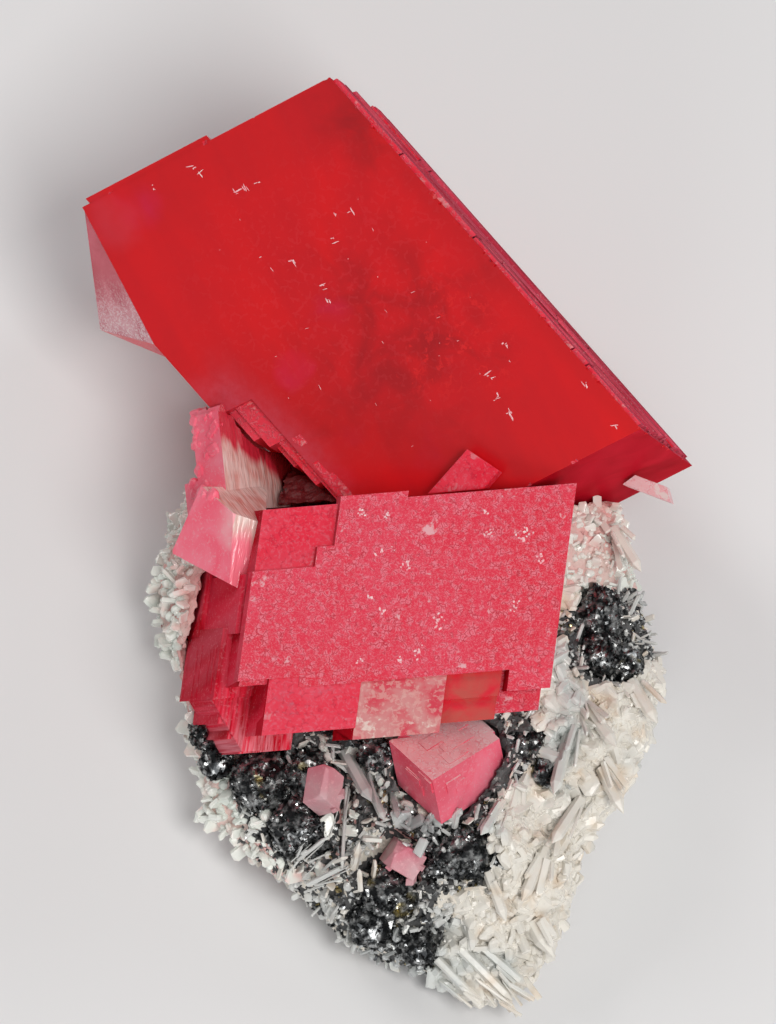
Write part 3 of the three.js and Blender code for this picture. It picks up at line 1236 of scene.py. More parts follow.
class SmoothPink(Clouded):
    """The smooth, deeper pink faces beside the frosted ones, with the thinnest frost."""

    name = "smooth_pink_rhodochrosite"
    gem = Gem(0.3, 1.6, 0.34, FROSTED_GEM.absorbed, FROSTED_GEM.density, shine=0.15)
    cloud = (170.0, 0.8)
    tones = ((1.0, 0.02, 0.06), (1.0, 0.09, 0.15))
    etching = (2900.0, 0.5, 0.38)
    layers = (
        ("Edge", 0.4, (0.6, 0.004, 0.03)),
        ("Fleck", 0.45, (0.95, 0.22, 0.3)),
        ("Own", 1, (0.66, 0.17, 0.24)),
        ("Spot", 0.5, (0.88, 0.4, 0.44)),
    )

    def add_marks(self, marks: dict[str, Socket]) -> None:
        """A dusty patch on the front crystal's lowest step."""
        marks["Own"] = self.ramp(self.times(self.near((-8.5, -17.5, -6), 10, 4), marks["Grain"]), 0.2, 0.6)


class ShadeDarkenedRed(Clouded):
    """Painted shade: a darker red for the side faces that look into shade."""

    name = "painted_shade_red_side"
    gem = Gem(0.08, 1.6, 0.36, FROSTED_GEM.absorbed, FROSTED_GEM.density, shine=0.0)
    # painted shade: these tones are darker than the red because the faces lie in shade
    tones = ((0.46, 0.004, 0.014), (0.64, 0.012, 0.032))


class StriatedPink(Finish):
    """The front crystal's left side: fine upright lines in dark red and pink."""

    name = "striated_pink_side"
    gem = Gem(0.08, 1.6, 0.4, FROSTED_GEM.absorbed, FROSTED_GEM.density, shine=0.0)
    across = SHOWING.direction(0.97, -0.2, -0.24)
    along_lines = SHOWING.direction(*FROSTED.down)

    def paint(self) -> None:
        """Lines that follow the crystal's upright edge, pale where they end below."""
        lines = self.lines(1.0, 0.07)
        frost = self.frost(2600.0, 0.46, 0.3)
        base = self.mix(lines["Lines"], (0.46, 0.003, 0.014), (0.76, 0.016, 0.05))
        lined = self.over(base, lines["Fine"], 0.28, (0.9, 0.18, 0.26))
        low = self.along((-17, -17.5, -14), (-16, -22.5, -14))
        share = self.times(self.times(low, lines["Fine"]), 0.9)
        bloom = self.mix(share, lined, (0.8, 0.28, 0.33))
        self.colour(self.over(bloom, frost["Fleck"], 0.25, (0.82, 0.34, 0.4)))
        self.relief(lines["Fine"], 0.05)


class PalePink(Clouded):
    """The paler crystals: milky pink, deeper low on the lower one, with a painted highlight at one spot on
    the pale crystal's cap.
    """

    name = "pale_pink_rhodochrosite"
    gem = PALE_GEM
    cloud = (200.0, 0.9)
    tones = ((1.0, 0.1, 0.18), (1.0, 0.25, 0.34))
    etching = (2700.0, 0.46, 0.3)
    layers = (
        (((3.5, -23, -6), 9, 4), 0.8, (0.72, 0.05, 0.1)),
        ("Fleck", 0.35, (0.9, 0.5, 0.54)),
        # painted highlight: a whitish patch that stands for a glint on the pale crystal's cap
        (((-15.9, 3, -8.8), 3.4, 5), 0.45, (0.92, 0.74, 0.74)),
    )
    raised = ("Grain", 0.04)


class DustyPink(PalePink):
    """The two chips in the rock: dusty, greyish pink."""

    name = "dusty_pink_chip"
    tones = ((0.62, 0.13, 0.19), (0.62, 0.4, 0.42))


class FrostWithPaintedLight(Clouded):
    """The lower crystal's pale top: greyish pink frost, painted paler than its own tone for the light that
    falls on the top.
    """

    name = "frost_and_painted_light_top"
    gem = Gem(0.1, 1.6, 0.34)
    cloud = (260.0, 0.9)
    # painted light: both tones are lighter than the frost's own, to light the lower crystal's top
    tones = ((0.94, 0.38, 0.43), (0.96, 0.64, 0.66))
    etching = (4400.0, 0.5, 0.42)
    layers = (
        ("Edge", 0.5, (0.8, 0.16, 0.22)),
        ("Own", 1, (0.95, 0.7, 0.72)),
        ("Spot", 1, (0.94, 0.8, 0.78)),
    )
    raised = ("Fleck", 0.015)

    def add_marks(self, marks: dict[str, Socket]) -> None:
        """Flecks and lines as one mark."""
        marks["Own"] = self.most(self.times(marks["Fleck"], 0.55), marks["Line"])


class PaintedSheenAndShadowFace(Finish):
    """The pale crystal's right face: white streaks, partly painted sheen, that give way to painted shadow in
    dark red.
    """

    name = "painted_sheen_and_shadow_face"
    gem = Gem(0.1, 1.6, 0.22, coat=0.4)
    across = SHOWING.direction(0.85, -0.1, -0.5)
    along_lines = SHOWING.direction(0.35, -0.93, 0.1)

    def paint(self) -> None:
        """White streaks of painted sheen from the left edge, then brown ones, then painted shadow in dark red
        towards the upper right.
        """
        lines = self.lines(0.55, 0.1)
        clouds = self.clouds(190.0, 1.0)
        # painted sheen: the white tones stand partly for light reflected from this face
        sheen_tone = self.mix(clouds["Cloud"], (0.7, 0.26, 0.22), (0.9, 0.74, 0.68))
        white = self.over(sheen_tone, lines["Fine"], 0.5, (0.95, 0.87, 0.82))
        streaks = self.times(lines["Lines"], 0.3)
        down = self.math("SUBTRACT", self.along((-17.6, 13.2, -18), (-16.4, 8.2, -15)), streaks)
        silky = self.mix(self.ramp(down, 0.05, 0.45), (0.66, 0.03, 0.06), white)
        right = self.math("SUBTRACT", self.along((-13.8, 6.6, -20), (-10.4, 8.6, -20)), streaks)
        # painted shadow: dark red towards the upper right, where the face lies in shade
        dark = self.ramp(right, 0.1, 0.4)
        shaded = self.mix(dark, silky, (0.24, 0.01, 0.014))
        low = self.math("SUBTRACT", self.along((-15.5, 3.5, -8.5), (-15.7, -3, -8.5)), streaks)
        self.colour(self.ramp(low, 0, 0.6), shaded, (0.97, 0.22, 0.3))
        self.relief(lines["Fine"], 0.05)


class MilkyQuartz(Finish):
    """Cream and white quartz, glassy at the edges."""

    name = "milky_quartz"
    gem = Gem(0.0, 1.54, 0.24)
    light: Colour = (0.75, 0.72, 0.66)
    warm: Colour = (0.7, 0.6, 0.49)
    cold: Colour = (0.6, 0.62, 0.6)

    def paint(self) -> None:
        """Each small crystal has its own tone, from white to cream and grey."""
        tone = self.noise(self.place, 300, 2)
        cold = self.noise(self.place, 95, 3)
        warm = self.mix(self.ramp(tone, 0.5, 0.74), self.light, self.warm)
        toned = self.mix(self.ramp(cold, 0.52, 0.66), warm, self.cold)
        self.colour(self.over(toned, self.near((-20, -8, -14), 8, 5), 0.6, (0.86, 0.4, 0.42)))
        self.relief(self.clouds(400.0, 0.8)["Grain"], 0.03)


class GlassyQuartz(MilkyQuartz):
    """Greenish white, glassy quartz of the left rim."""

    name = "glassy_rim_quartz"
    gem = Gem(0.0, 1.54, 0.16)
    light: Colour = (0.78, 0.8, 0.75)
    warm: Colour = (0.78, 0.5, 0.46)
    cold: Colour = (0.64, 0.68, 0.63)


class GreyQuartz(MilkyQuartz):
    """Clearer, greyer quartz."""

    name = "grey_quartz"
    gem = Gem(0.2, 1.54, 0.12)
    light: Colour = (0.76, 0.77, 0.75)
    warm: Colour = (0.64, 0.62, 0.59)
    cold: Colour = (0.5, 0.52, 0.52)


class DarkSulphide(Finish):
    """Dark grey sulphide with a bright metallic lustre and a brassy tint in places."""

    name = "dark_sulphide"
    gem = Gem(0.0, 1.5, 0.24)
    metallic = 0.85

    def paint(self) -> None:
        """Grey from black to steel, brassy here and there."""
        tone = self.noise(self.place, 1100, 2)
        brass = self.noise(self.place, 300, 2)
        grey = self.mix(self.ramp(tone, 0.42, 0.7), (0.03, 0.032, 0.034), (0.45, 0.46, 0.46))
        self.colour(self.ramp(brass, 0.64, 0.76), grey, (0.34, 0.28, 0.12))
        rough = self.ramp(self.noise(self.place, 1400, 2), 0.3, 0.8)
        self.feed("Roughness", self.math("MULTIPLY_ADD", rough, 0.24, 0.2))


class BrassyPyrite(Finish):
    """Brassy specks."""

    name = "brassy_pyrite"
    gem = Gem(0.0, 1.5, 0.25)
    metallic = 1.0

    def paint(self) -> None:
        """Pale brass with darker tarnish."""
        tone = self.noise(self.place, 1200, 2)
        self.colour(tone, (0.22, 0.17, 0.07), (0.6, 0.5, 0.26))


class RockBody(Finish):
    """The rock under the druse: granular quartz with dark sulphide grains."""

    name = "matrix_rock_body"
    gem = Gem(0.0, 1.5, 0.5)
    tones: tuple[Colour, Colour, Colour] = ((0.8, 0.76, 0.68), (0.66, 0.61, 0.54), (0.3, 0.28, 0.25))
    dark_from = 0.6

    def paint(self) -> None:
        """Cream, grey and dark grains."""
        first, second, dark = self.tones
        clouds = self.clouds(160.0, 0.9)
        grain = self.noise(self.place, 800, 4, Roughness=0.7)
        pale = self.mix(clouds["Cloud"], first, second)
        deep = self.ramp(grain, self.dark_from, self.dark_from + 0.08)
        self.colour(deep, pale, dark)
        self.relief(grain, 0.25)


class RimRock(RockBody):
    """The pinkish brown rock of the left rim."""

    name = "pinkish_rim_rock"
    tones = ((0.76, 0.4, 0.38), (0.7, 0.58, 0.53), (0.36, 0.16, 0.15))


class DarkRock(RockBody):
    """The rock under the sulphide: nearly black, with grey quartz grains."""

    name = "dark_rock"
    tones = ((0.03, 0.031, 0.033), (0.09, 0.09, 0.09), (0.34, 0.34, 0.33))


class ShadedRock(RockBody):
    """Painted shadow: dark reddish rock for the shaded gap behind the crystals."""

    name = "shaded_red_rock"
    tones = ((0.16, 0.008, 0.012), (0.1, 0.01, 0.01), (0.04, 0.01, 0.01))


class StudioFloor(Finish):
    """The plain pale floor."""

    name = "studio_floor"
    gem = Gem(0.0, 1.45, 0.6)

    def paint(self) -> None:
        """One pale tone with the faintest mottle."""
        tone = self.noise(self.place, 12, 2)
        self.colour(tone, (0.7, 0.7, 0.71), (0.73, 0.73, 0.74))


@functools.cache
def material_of(finish: type[Finish]) -> bpy.types.Material:
    """A finish's material, built the first time that it is asked for."""
    return finish().material


class Slot(Enum):
    """The record's material slots."""

    RED = "red_crystal"
    FROSTED = "frosted_crystal"
    PALE = "pale_crystal"
    QUARTZ = "quartz"
    SULPHIDE = "sulphide"
    MATRIX = "matrix"


# --------------------------------------------------------------------------------------------------------
# Sub-assemblies


@dataclass
class SubAssembly:
    """What every sub-assembly shares.

    Attributes:
        nodes: The frame's CAD nodes by name.
        seed: The seed of its draws.
    """

    nodes: dict[str, Piece]
    seed: int = 0

    def __post_init__(self) -> None:
        """Starts the sub-assembly's own source of chance."""
        self.rng = random.Random(self.seed)

    def draw(self, low: float, high: float) -> float:
        """A number drawn between two."""
        return self.rng.uniform(low, high)

    def any_way(self) -> Vector:
        """A vector whose parts are drawn from -1 to 1."""
        return Vector([self.draw(-1, 1) for _ in range(3)])

    def any_turn(self) -> float:
        """A turn drawn from the whole circle."""
        return self.draw(0, 6.28)

    def settle(self, piece: Piece, slot: Slot, *replaced: str) -> None:
        """Makes a finished piece part of the object.

        Args:
            piece: The finished piece.
            slot: Not used.
            replaced: The CAD nodes that it stands for.
        """
        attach(piece, "root")
        if replaced:
            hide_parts(*replaced)
        LOG.info("%s: %d faces", piece.name, len(piece.data.polygons))

    @staticmethod
    def dress(
        piece: Piece,
        finishes: Sequence[type[Finish]],
        choose: Callable[[Vector, Vector], int] = lambda centre, normal: 0,
    ) -> None:
        """Gives each face its finish.

        Args:
            piece: The piece to dress.
            finishes: Its finishes.
            choose: The number of a face's finish, from its centre in the face-on frame and its normal.
        """
        piece.data.materials.clear()
        for finish in finishes:
            piece.data.materials.append(material_of(finish))
        for face in piece.data.polygons:
            face.material_index = choose(SHOWING.face_on(face.center), face.normal)

    def strew(
        self,
        name: str,
        seeds: Seeds,
        places: Sequence[Place],
        finish: type[Finish],
        slot: Slot,
    ) -> None:
        """One finished piece of many small crystals.

        Args:
            name: The piece's name.
            seeds: The prototypes.
            places: The prototype's number and its step to the row frame, for each crystal.
            finish: The finish of all of them.
            slot: The record's slot.
        """
        if places:
            piece = seeds.scatter(name, places)
            self.dress(piece, [finish])
            self.settle(piece, slot)


@dataclass
class LargeCrystal(SubAssembly):
    """The large red rhombohedron, its growth layers, chips, surface marks and inner veils.

    Attributes:
        chips: How many chips are missing from its edges.
        blooms: How many thin pale plates lie along its lower left edge.
        marks: Where the groups of small marks lie on its front, as shares of its edges, and how many.
        specks: How many single crumbs are strewn between those groups.
        veils: Where clouds of tiny inner flakes hang, as shares of its edges, and their radius.
    """

    seed: int = 11
    chips: int = 44
    blooms: int = 9
    marks: tuple[tuple[float, float, int], ...] = (
        (0.75, 0.04, 3), (0.6, 0.035, 3), (0.585, 0.055, 2), (0.535, 0.125, 3), (0.5, 0.13, 3),
        (0.46, 0.13, 2), (0.32, 0.275, 2), (0.27, 0.285, 2), (0.55, 0.325, 4), (0.52, 0.4, 4),
        (0.55, 0.435, 4), (0.38, 0.325, 3), (0.17, 0.7, 5), (0.285, 0.75, 5), (0.315, 0.795, 4),
        (0.32, 0.835, 4), (0.065, 0.97, 2), (0.04, 0.855, 3),
    )
    specks: int = 26
    veils: tuple[tuple[Triple, Triple], ...] = (
        ((0.3, 0.42, 0.16), (0.16, 0.12, 0.08)),
        ((0.68, 0.36, 0.12), (0.14, 0.14, 0.06)),
        ((0.5, 0.72, 0.14), (0.2, 0.12, 0.07)),
    )

    def build(self) -> None:
        """Builds and dresses the crystal."""
        body = Bench.copy_of_node(self.nodes["large_red_rhomb"], "large_red_crystal")
        layers = Bench.join(self._growth_layers())
        Bench.combine(body, [layers, *self._edge_steps(), *self._bloom_plates()])
        Bench.combine(body, self._chips(), "DIFFERENCE")
        Bench.bevel(body, 0.05)
        side = GRAND.normal(GRAND.down, GRAND.back)
        front = GRAND.normal(GRAND.down, GRAND.across)
        short = GRAND.normal(GRAND.across, GRAND.back)
        end = SHOWING.direction(-0.746, -0.402, 0.529)

        def choose(centre: Vector, normal: Vector) -> int:
            """Red, striated, painted sheen on the end, bloom or painted-shade dark red, by where the face
            lies and looks.
            """
            u, v, w = GRAND.shares(centre)
            if normal.dot(end) > 0.93 and centre.x < -20:
                return 2
            facing = [abs(normal.dot(way)) for way in (front, side, short)]
            if u < 0.3 and w > 0.006 and (u < -0.0008 or facing[1] > 0.8):
                return 3 if facing[0] > 0.7 and int(w * 34) % 3 == 0 else 1
            if max(facing) < SQUARE_ON:
                return 3 if u > 0.02 else 0
            if facing[0] > 0.9 and (w < -0.0006 or (u > 0.985 and v > 0.45)):
                return 3
            # painted shade: the far end face takes the darker red of faces in shade
            return 4 if facing[2] > 0.8 and v > 0.9 and w > 0.01 else 0

        self.dress(body, [ClearRed, StriatedSide, SheenPaintedEnd, EdgeBloom, ShadeDarkenedRed], choose)
        self.settle(body, Slot.RED, "large_red_rhomb")
        self._surface_marks()
        self._inner_veils()

    def _growth_layers(self) -> list[Piece]:
        """Thin layers that stand out by different amounts along the right side, each broken across."""
        slabs = []
        low = 0.012
        while low < 0.95:
            thick = self.rng.choice((0.03, 0.045, 0.07, 0.11))
            high = min(low + thick, 0.985)
            proud = self.draw(0.002, 0.02)
            cuts = sorted(self.draw(0.05, 0.95) for _ in range(self.rng.randrange(1, 5)))
            for start, stop in zip([0.006, *cuts], [*cuts, 0.99]):
                if stop - start > 0.02:
                    reach = max(0.001, proud + self.draw(-0.007, 0.006))
                    corner = (-reach, start + 0.002, low)
                    slabs.append(Bench.block("layer", GRAND, corner, (0.03, stop - 0.002, high - 0.004)))
            low = high
        return slabs

    @staticmethod
    def _edge_steps() -> list[Piece]:
        """Three thick steps along the lower left edge, each by its reach, start, stop and depth."""
        steps = ((1.07, 0.5, 0.66, 0.03), (1.035, 0.6, 0.78, 0.042), (1.012, 0.7, 0.9, 0.024))
        return [
            Bench.block("step", GRAND, (0.9, start, deep), (reach, stop, 0.2))
            for reach, start, stop, deep in steps
        ]

    def _bloom_plates(self) -> list[Piece]:
        """Thin plates that grew on the front along the lower left edge."""
        plates = []
        for _ in range(self.blooms):
            u, v = self.draw(0.95, 0.985), self.draw(0.65, 0.92)
            corner = (u, v, -self.draw(0.001, 0.003))
            end = (self.draw(0.98, 0.999), v + self.draw(0.01, 0.07), 0.02)
            plates.append(Bench.block("bloom", GRAND, corner, end))
        return plates

    def _chips(self) -> list[Piece]:
        """Small turned cubes that take chips out of the edges, most of them along the right one."""
        near, far = (0, 0, 0), (0, 1, 0)
        edges = ((near, far), (near, (1, 0, 0)), (far, (1, 1, 0)), (far, (0, 1, 1)))
        tools = []
        for _ in range(self.chips):
            start, stop = self.rng.choices(edges, (0.6, 0.12, 0.12, 0.16))[0]
            place = GRAND.spot(*Vector(start).lerp(Vector(stop), self.rng.random()))
            tools.append(Bench.chip(place, self.draw(0.2, 0.5), self.rng))
        return tools

    def _surface_marks(self) -> None:
        """Groups of pale crumbs and short dashes on the front, and a thin strewing of finer ones."""
        seeds = Seeds([SeedShapes.rhomb("mark_rhomb")])
        front = GRAND.normal(GRAND.down, GRAND.across)
        places = []
        single = [(self.draw(0.04, 0.9), self.rng.betavariate(2.2, 1.6), 1) for _ in range(self.specks)]
        for u, v, count in (*self.marks, *single):
            for _ in range(count):
                point = GRAND.spot(u + self.rng.gauss(0, 0.006), v + self.rng.gauss(0, 0.005))
                size = self.draw(0.1, 0.2) if count > 1 else self.draw(0.06, 0.11)
                sizes = (size * self.rng.choice((1.2, 2.5, 5)), size * self.draw(0.4, 0.9), size * 0.4)
                turn = self.rng.choice((0.5, 2.1, 2.3)) + self.draw(-0.2, 0.2)
                places.append((0, standing(point, front, turn, sizes, size * 0.2)))
        self.strew("red_crystal_marks", seeds, places, FrostWithPaintedLight, Slot.PALE)

    def _inner_veils(self) -> None:
        """Tiny flat flakes that hang in the clear red."""
        seeds = Seeds([SeedShapes.rhomb("veil_rhomb")])
        places = []
        for middle, radius in self.veils:
            for _ in range(80):
                u, v, w = (m + r * self.rng.gauss(0, 0.6) for m, r in zip(middle, radius))
                size = self.draw(0.12, 0.5)
                direction = (GRAND.normal(GRAND.down, GRAND.across) + 0.8 * self.any_way()).normalized()
                sizes = (size, size * self.draw(0.5, 1), 0.03)
                point = GRAND.spot(u, v, max(w, 0.04))
                places.append((0, standing(point, direction, self.any_turn(), sizes, 0)))
        self.strew("red_crystal_veils", seeds, places, SmoothPink, Slot.PALE)


@dataclass
class FrontCrystal(SubAssembly):
    """The frosted crystal with its low terraces, etched crumbs and striated left side.

    Attributes:
        hillocks: How many tiny growth hillocks stand on the frosted face.
        stars: Where the white star-like spots lie on that face, along its two edges.
    """

    seed: int = 23
    hillocks: int = 1500
    stars: tuple[tuple[float, float], ...] = (
        (16.3, 7.7), (13, 11.2), (14.6, 12.8), (12.8, 18.2), (17.1, 18.4), (25, 5.3), (24.4, 2.6),
        (28.6, 13.4),
    )

    def build(self) -> None:
        """Builds and dresses the crystal."""
        body = Bench.copy_of_node(self.nodes["frosted_rhomb"], "frosted_pink_crystal")
        Bench.combine(body, self._terraces())
        Bench.combine(body, self._low_steps())
        foot = Bench.block("foot", FROSTED, (-0.75, 19, 7.2), (6, 27.4, 17.6))
        Bench.facet(foot, (-18.91, -16.63, -8.57), (-0.866, -0.438, 0.238))
        Bench.combine(body, [foot])
        Bench.combine(body, self._side_ribs())
        Bench.bevel(body, 0.06)
        front = FROSTED.normal(FROSTED.down, FROSTED.across)
        left = FROSTED.normal(FROSTED.down, FROSTED.back)
        top = FROSTED.normal(FROSTED.across, FROSTED.back)

        def choose(centre: Vector, normal: Vector) -> int:
            """Frosted on the front, the steps' own finishes below, smooth, striated or painted-shade dark red
            on the sides.
            """
            s, t, depth = FROSTED.shares(centre)
            facing = [abs(normal.dot(way)) for way in (front, left, top)]
            if depth > 2.5 and s < 8:
                return 2
            if max(facing) < SQUARE_ON:
                return 6
            # painted shade: the left side's lowest faces take the darker red of faces in shade
            if facing[1] > 0.6:
                return 3 if t > 19 else 2
            if facing[0] < 0.9:
                return 1
            if t > 20.6 and 13 < s < 22.6:
                return 4
            if t > 20.6 and 21 < s < 29:
                return 5
            return 1 if (s < 8.6 and t < 7.6 and depth > 0.5) or (t > 20.6 and s < 13.3) else 0

        looks = [FrostedPink, SmoothPink, StriatedPink, ShadeDarkenedRed, TanFrost, AmberRed, FrostWithPaintedLight]
        self.dress(body, looks, choose)
        self.settle(body, Slot.FROSTED, "frosted_rhomb")
        self._hillocks()

    def _terraces(self) -> list[Piece]:
        """Low plates on the front face, with their edges along the crystal's own."""
        plates = [
            Bench.block("terrace", FROSTED, (8.6, 1.2, -0.04), (33.2, 19.2, 0.5)),
            Bench.block("terrace", FROSTED, (13.5, 7, -0.07), (33.4, 19.3, 0.5)),
        ]
        for _ in range(9):
            s, t = self.draw(9, 28), self.draw(2, 17)
            high = (min(s + self.draw(1.5, 6), 33.2), min(t + self.draw(1, 4), 20.2), 0.5)
            plates.append(Bench.block("terrace", FROSTED, (s, t, -self.draw(0.075, 0.11)), high))
        return plates

    @staticmethod
    def _low_steps() -> list[Piece]:
        """The steps below the frosted face: a smooth one, a tan crusted one and a clear orange one."""
        return [
            Bench.block("low_step", FROSTED, (3.4, 18.6, 0.12), (13.3, 25.7, 3)),
            Bench.block("low_step", FROSTED, (13.2, 18.6, 0.2), (22.4, 27, 3)),
            Bench.block("low_step", FROSTED, (21, 18.6, 0.7), (28.4, 23.4, 3)),
        ]

    def _side_ribs(self) -> list[Piece]:
        """Thin upright ribs low on the left side."""
        ribs = []
        for _ in range(9):
            deep = self.draw(6.6, 21)
            low = (-0.82 - self.draw(0, 0.1), self.draw(13.5, 16), deep)
            high = (2, self.draw(18.5, 21), deep + self.draw(0.12, 0.5))
            ribs.append(Bench.block("rib", FROSTED, low, high))
        return ribs

    def _hillocks(self) -> None:
        """Tiny growth hillocks all over the frosted face, and star-like knots of white ones."""
        seeds = Seeds([SeedShapes.rhomb("hillock_rhomb")])
        front = FROSTED.normal(FROSTED.down, FROSTED.across)

        def place(s: float, t: float, size: float) -> Place:
            """One hillock on the face."""
            turn = self.rng.choice((0.1, 1.6)) + self.draw(-0.3, 0.3)
            sizes = (size * self.draw(0.8, 1.8), size, size * 0.35)
            return 0, standing(FROSTED.spot(s, t, -0.05), front, turn, sizes, size * 0.12)

        spread = ((self.draw(8.8, 33.1), self.draw(1.3, 19.1)) for _ in range(self.hillocks))
        places = [place(s, t, self.draw(0.06, 0.18)) for s, t in spread]
        self.strew("frosted_face_hillocks", seeds, places, FrostedPink, Slot.FROSTED)
        places = [
            place(s + self.rng.gauss(0, spread), t + self.rng.gauss(0, spread), self.draw(0.08, 0.24))
            for s, t in (*self.stars, *((self.draw(9, 32), self.draw(1, 19)) for _ in range(10)))
            for spread in [self.draw(0.12, 0.42)]
            for _ in range(int(spread * 34))
        ]
        self.strew("frosted_face_stars", seeds, places, FrostWithPaintedLight, Slot.PALE)


@dataclass
class SmallCrystals(SubAssembly):
    """The pale crystal, the lower one, the thin plate, the stub and the two chips in the rock."""

    seed: int = 41

    def build(self) -> None:
        """Builds and dresses the six crystals."""
        self._pale()
        self._lower()
        for node, name, finish, slot, facets in (
            ("sliver_rhomb", "sliver_plate", SmoothPink, Slot.FROSTED, 0),
            ("stub_rhomb", "stub_crystal", FrostWithPaintedLight, Slot.PALE, 0),
            ("left_chip_rhomb", "left_chip_crystal", DustyPink, Slot.PALE, 4),
            ("low_chip_rhomb", "low_chip_crystal", DustyPink, Slot.PALE, 4),
        ):
            piece = Bench.copy_of_node(self.nodes[node], name)
            corners = [SHOWING.face_on(v.co) for v in piece.data.vertices]
            middle = sum(corners, Vector()) / len(corners)
            if facets:
                centre = Matrix.Translation(SHOWING.point(*middle))
                piece.data.transform(centre @ Matrix.Scale(0.86, 4) @ centre.inverted())
            for _ in range(facets):
                outward = (self.any_way() + Vector((0, 0, 0.7))).normalized()
                reach = max((corner - middle).dot(outward) for corner in corners)
                Bench.facet(piece, middle + outward * reach * self.draw(0.62, 0.8), outward)
            Bench.bevel(piece, 0.09, 2)
            self.dress(piece, [finish])
            self.settle(piece, slot, node)
            if facets:
                self._crumbs(piece)

    def _crumbs(self, piece: Piece) -> None:
        """Small blocks that grew on a chip.

        Args:
            piece: The chip.
        """
        seeds = Seeds([SeedShapes.rhomb("crumb_rhomb", 0.08)])
        places = []
        for spot in Surface(piece, 43).spots(6):
            size = self.draw(0.4, 1.0)
            direction = spot.normal + 0.4 * self.any_way()
            places.append((0, standing(spot.point, direction, self.any_turn(), (size,) * 3, size * 0.3)))
        self.strew(f"{piece.name}_crumbs", seeds, places, DustyPink, Slot.PALE)

    def _pale(self) -> None:
        """The pale crystal behind the front one, with its cap and its bumpy left edge."""
        piece = Bench.copy_of_node(self.nodes["pale_rhomb"], "pale_pearly_crystal")
        foot = ((-22.1, -1.6, -14), (-0.46, -0.887, 0))
        Bench.facet(piece, *foot)
        cap = Bench.block("cap", PLAIN, (-23, -6.5, -20), (-13, 6, -8))
        for point, outward in (
            ((-16.6, -0.4, -8.2), (-0.72, -0.02, 0.69)),
            ((-16.6, -0.4, -8.2), (0.39, -0.107, 0.915)),
            foot,
            ((-20.35, 5.1, -12), (-0.91, 0.41, 0)),
            ((-19.2, 4.9, -9), (0.42, 0.86, 0.3)),
        ):
            Bench.facet(cap, point, outward)
        Bench.combine(piece, [cap])
        Bench.facet(piece, (-18.7, 14.3, -17), (-0.35, 0.93, 0.1))
        Bench.bevel(piece, 0.12, 2)
        right = PALE.normal(PALE.across, PALE.down)

        def choose(centre: Vector, normal: Vector) -> int:
            """Painted sheen and shadow on the right face and the cap's right, milky elsewhere."""
            silky = abs(normal.dot(right)) > 0.8 and centre.y > 3
            return 1 if silky or (SHOWING.facing(normal).x > 0.25 and centre.y > -3) else 0

        self.dress(piece, [PalePink, PaintedSheenAndShadowFace], choose)
        self.settle(piece, Slot.PALE, "pale_rhomb")
        surface = Surface(piece, 42)

        def on_the_left(spot: Spot) -> bool:
            """Whether a place is on the bumpy left edge."""
            point, outward = SHOWING.face_on(spot.point), SHOWING.facing(spot.normal)
            return point.x < -18.4 and 5 < point.y < 15 and outward.x < 0 and outward.z > -0.3

        seeds = Seeds([SeedShapes.knob("pale_knob", 3), SeedShapes.rhomb("pale_rhomb_knob", 0.14)])
        places = []
        for spot in surface.spots(420, on_the_left)[:54]:
            size = self.draw(0.8, 1.8)
            kind, turn, sizes = self.rng.randrange(2), self.any_turn(), (size, size, size * 0.7)
            places.append((kind, standing(spot.point, spot.normal, turn, sizes, size * 0.4)))
        self.strew("pale_crystal_knobs", seeds, places, PalePink, Slot.PALE)

    def _lower(self) -> None:
        """The lower crystal with its frosted top, and the quartz blades that overgrow its foot."""
        piece = Bench.copy_of_node(self.nodes["lower_rhomb"], "lower_crystal")
        for _ in range(14):
            low = [self.draw(0.02, 0.6) for _ in range(3)]
            high = [edge + self.draw(0.12, 0.38) for edge in low]
            side = self.rng.randrange(3)
            low[side], high[side] = -self.draw(0.01, 0.035), 0.3
            Bench.combine(piece, [Bench.block("plate", LOWER, low, high)])
        Bench.facet(piece, (6, -28.6, -5), (0.12, -0.93, 0.35))
        Bench.bevel(piece, 0.1, 2)
        top = LOWER.normal(LOWER.across, LOWER.back)

        def choose(centre: Vector, normal: Vector) -> int:
            """Frost with painted light on top, milky elsewhere."""
            return 1 if abs(normal.dot(top)) > 0.9 else 0

        self.dress(piece, [PalePink, FrostWithPaintedLight], choose)
        self.settle(piece, Slot.FROSTED, "lower_rhomb")
        blade = SeedShapes.blade("foot_blade", 2.6, 1.3, 0.5)
        seeds = Seeds([blade, SeedShapes.prism("foot_prism", 2.6, 0.85, 0.1)])
        places = []
        ground = tree_of([node for name, node in self.nodes.items() if not name.startswith("quartz_")])
        for number in range(16):
            above = SHOWING.point(self.draw(0.6, 7.4), self.draw(-33, -29.4), 10)
            foot = ground.ray_cast(above, SHOWING.direction(0, 0, -1))[0]
            lean = self.draw(-0.7, 0.7), self.draw(-0.2, 1), self.draw(0.3, 0.9)
            direction = SHOWING.direction(*lean)
            size = self.draw(0.4, 0.95)
            place = standing(foot, direction, self.draw(-0.9, 0.9), (size, size, size), 0.4)
            places.append((number % 2, place))
        self.strew("lower_crystal_foot", seeds, places, GreyQuartz, Slot.QUARTZ)


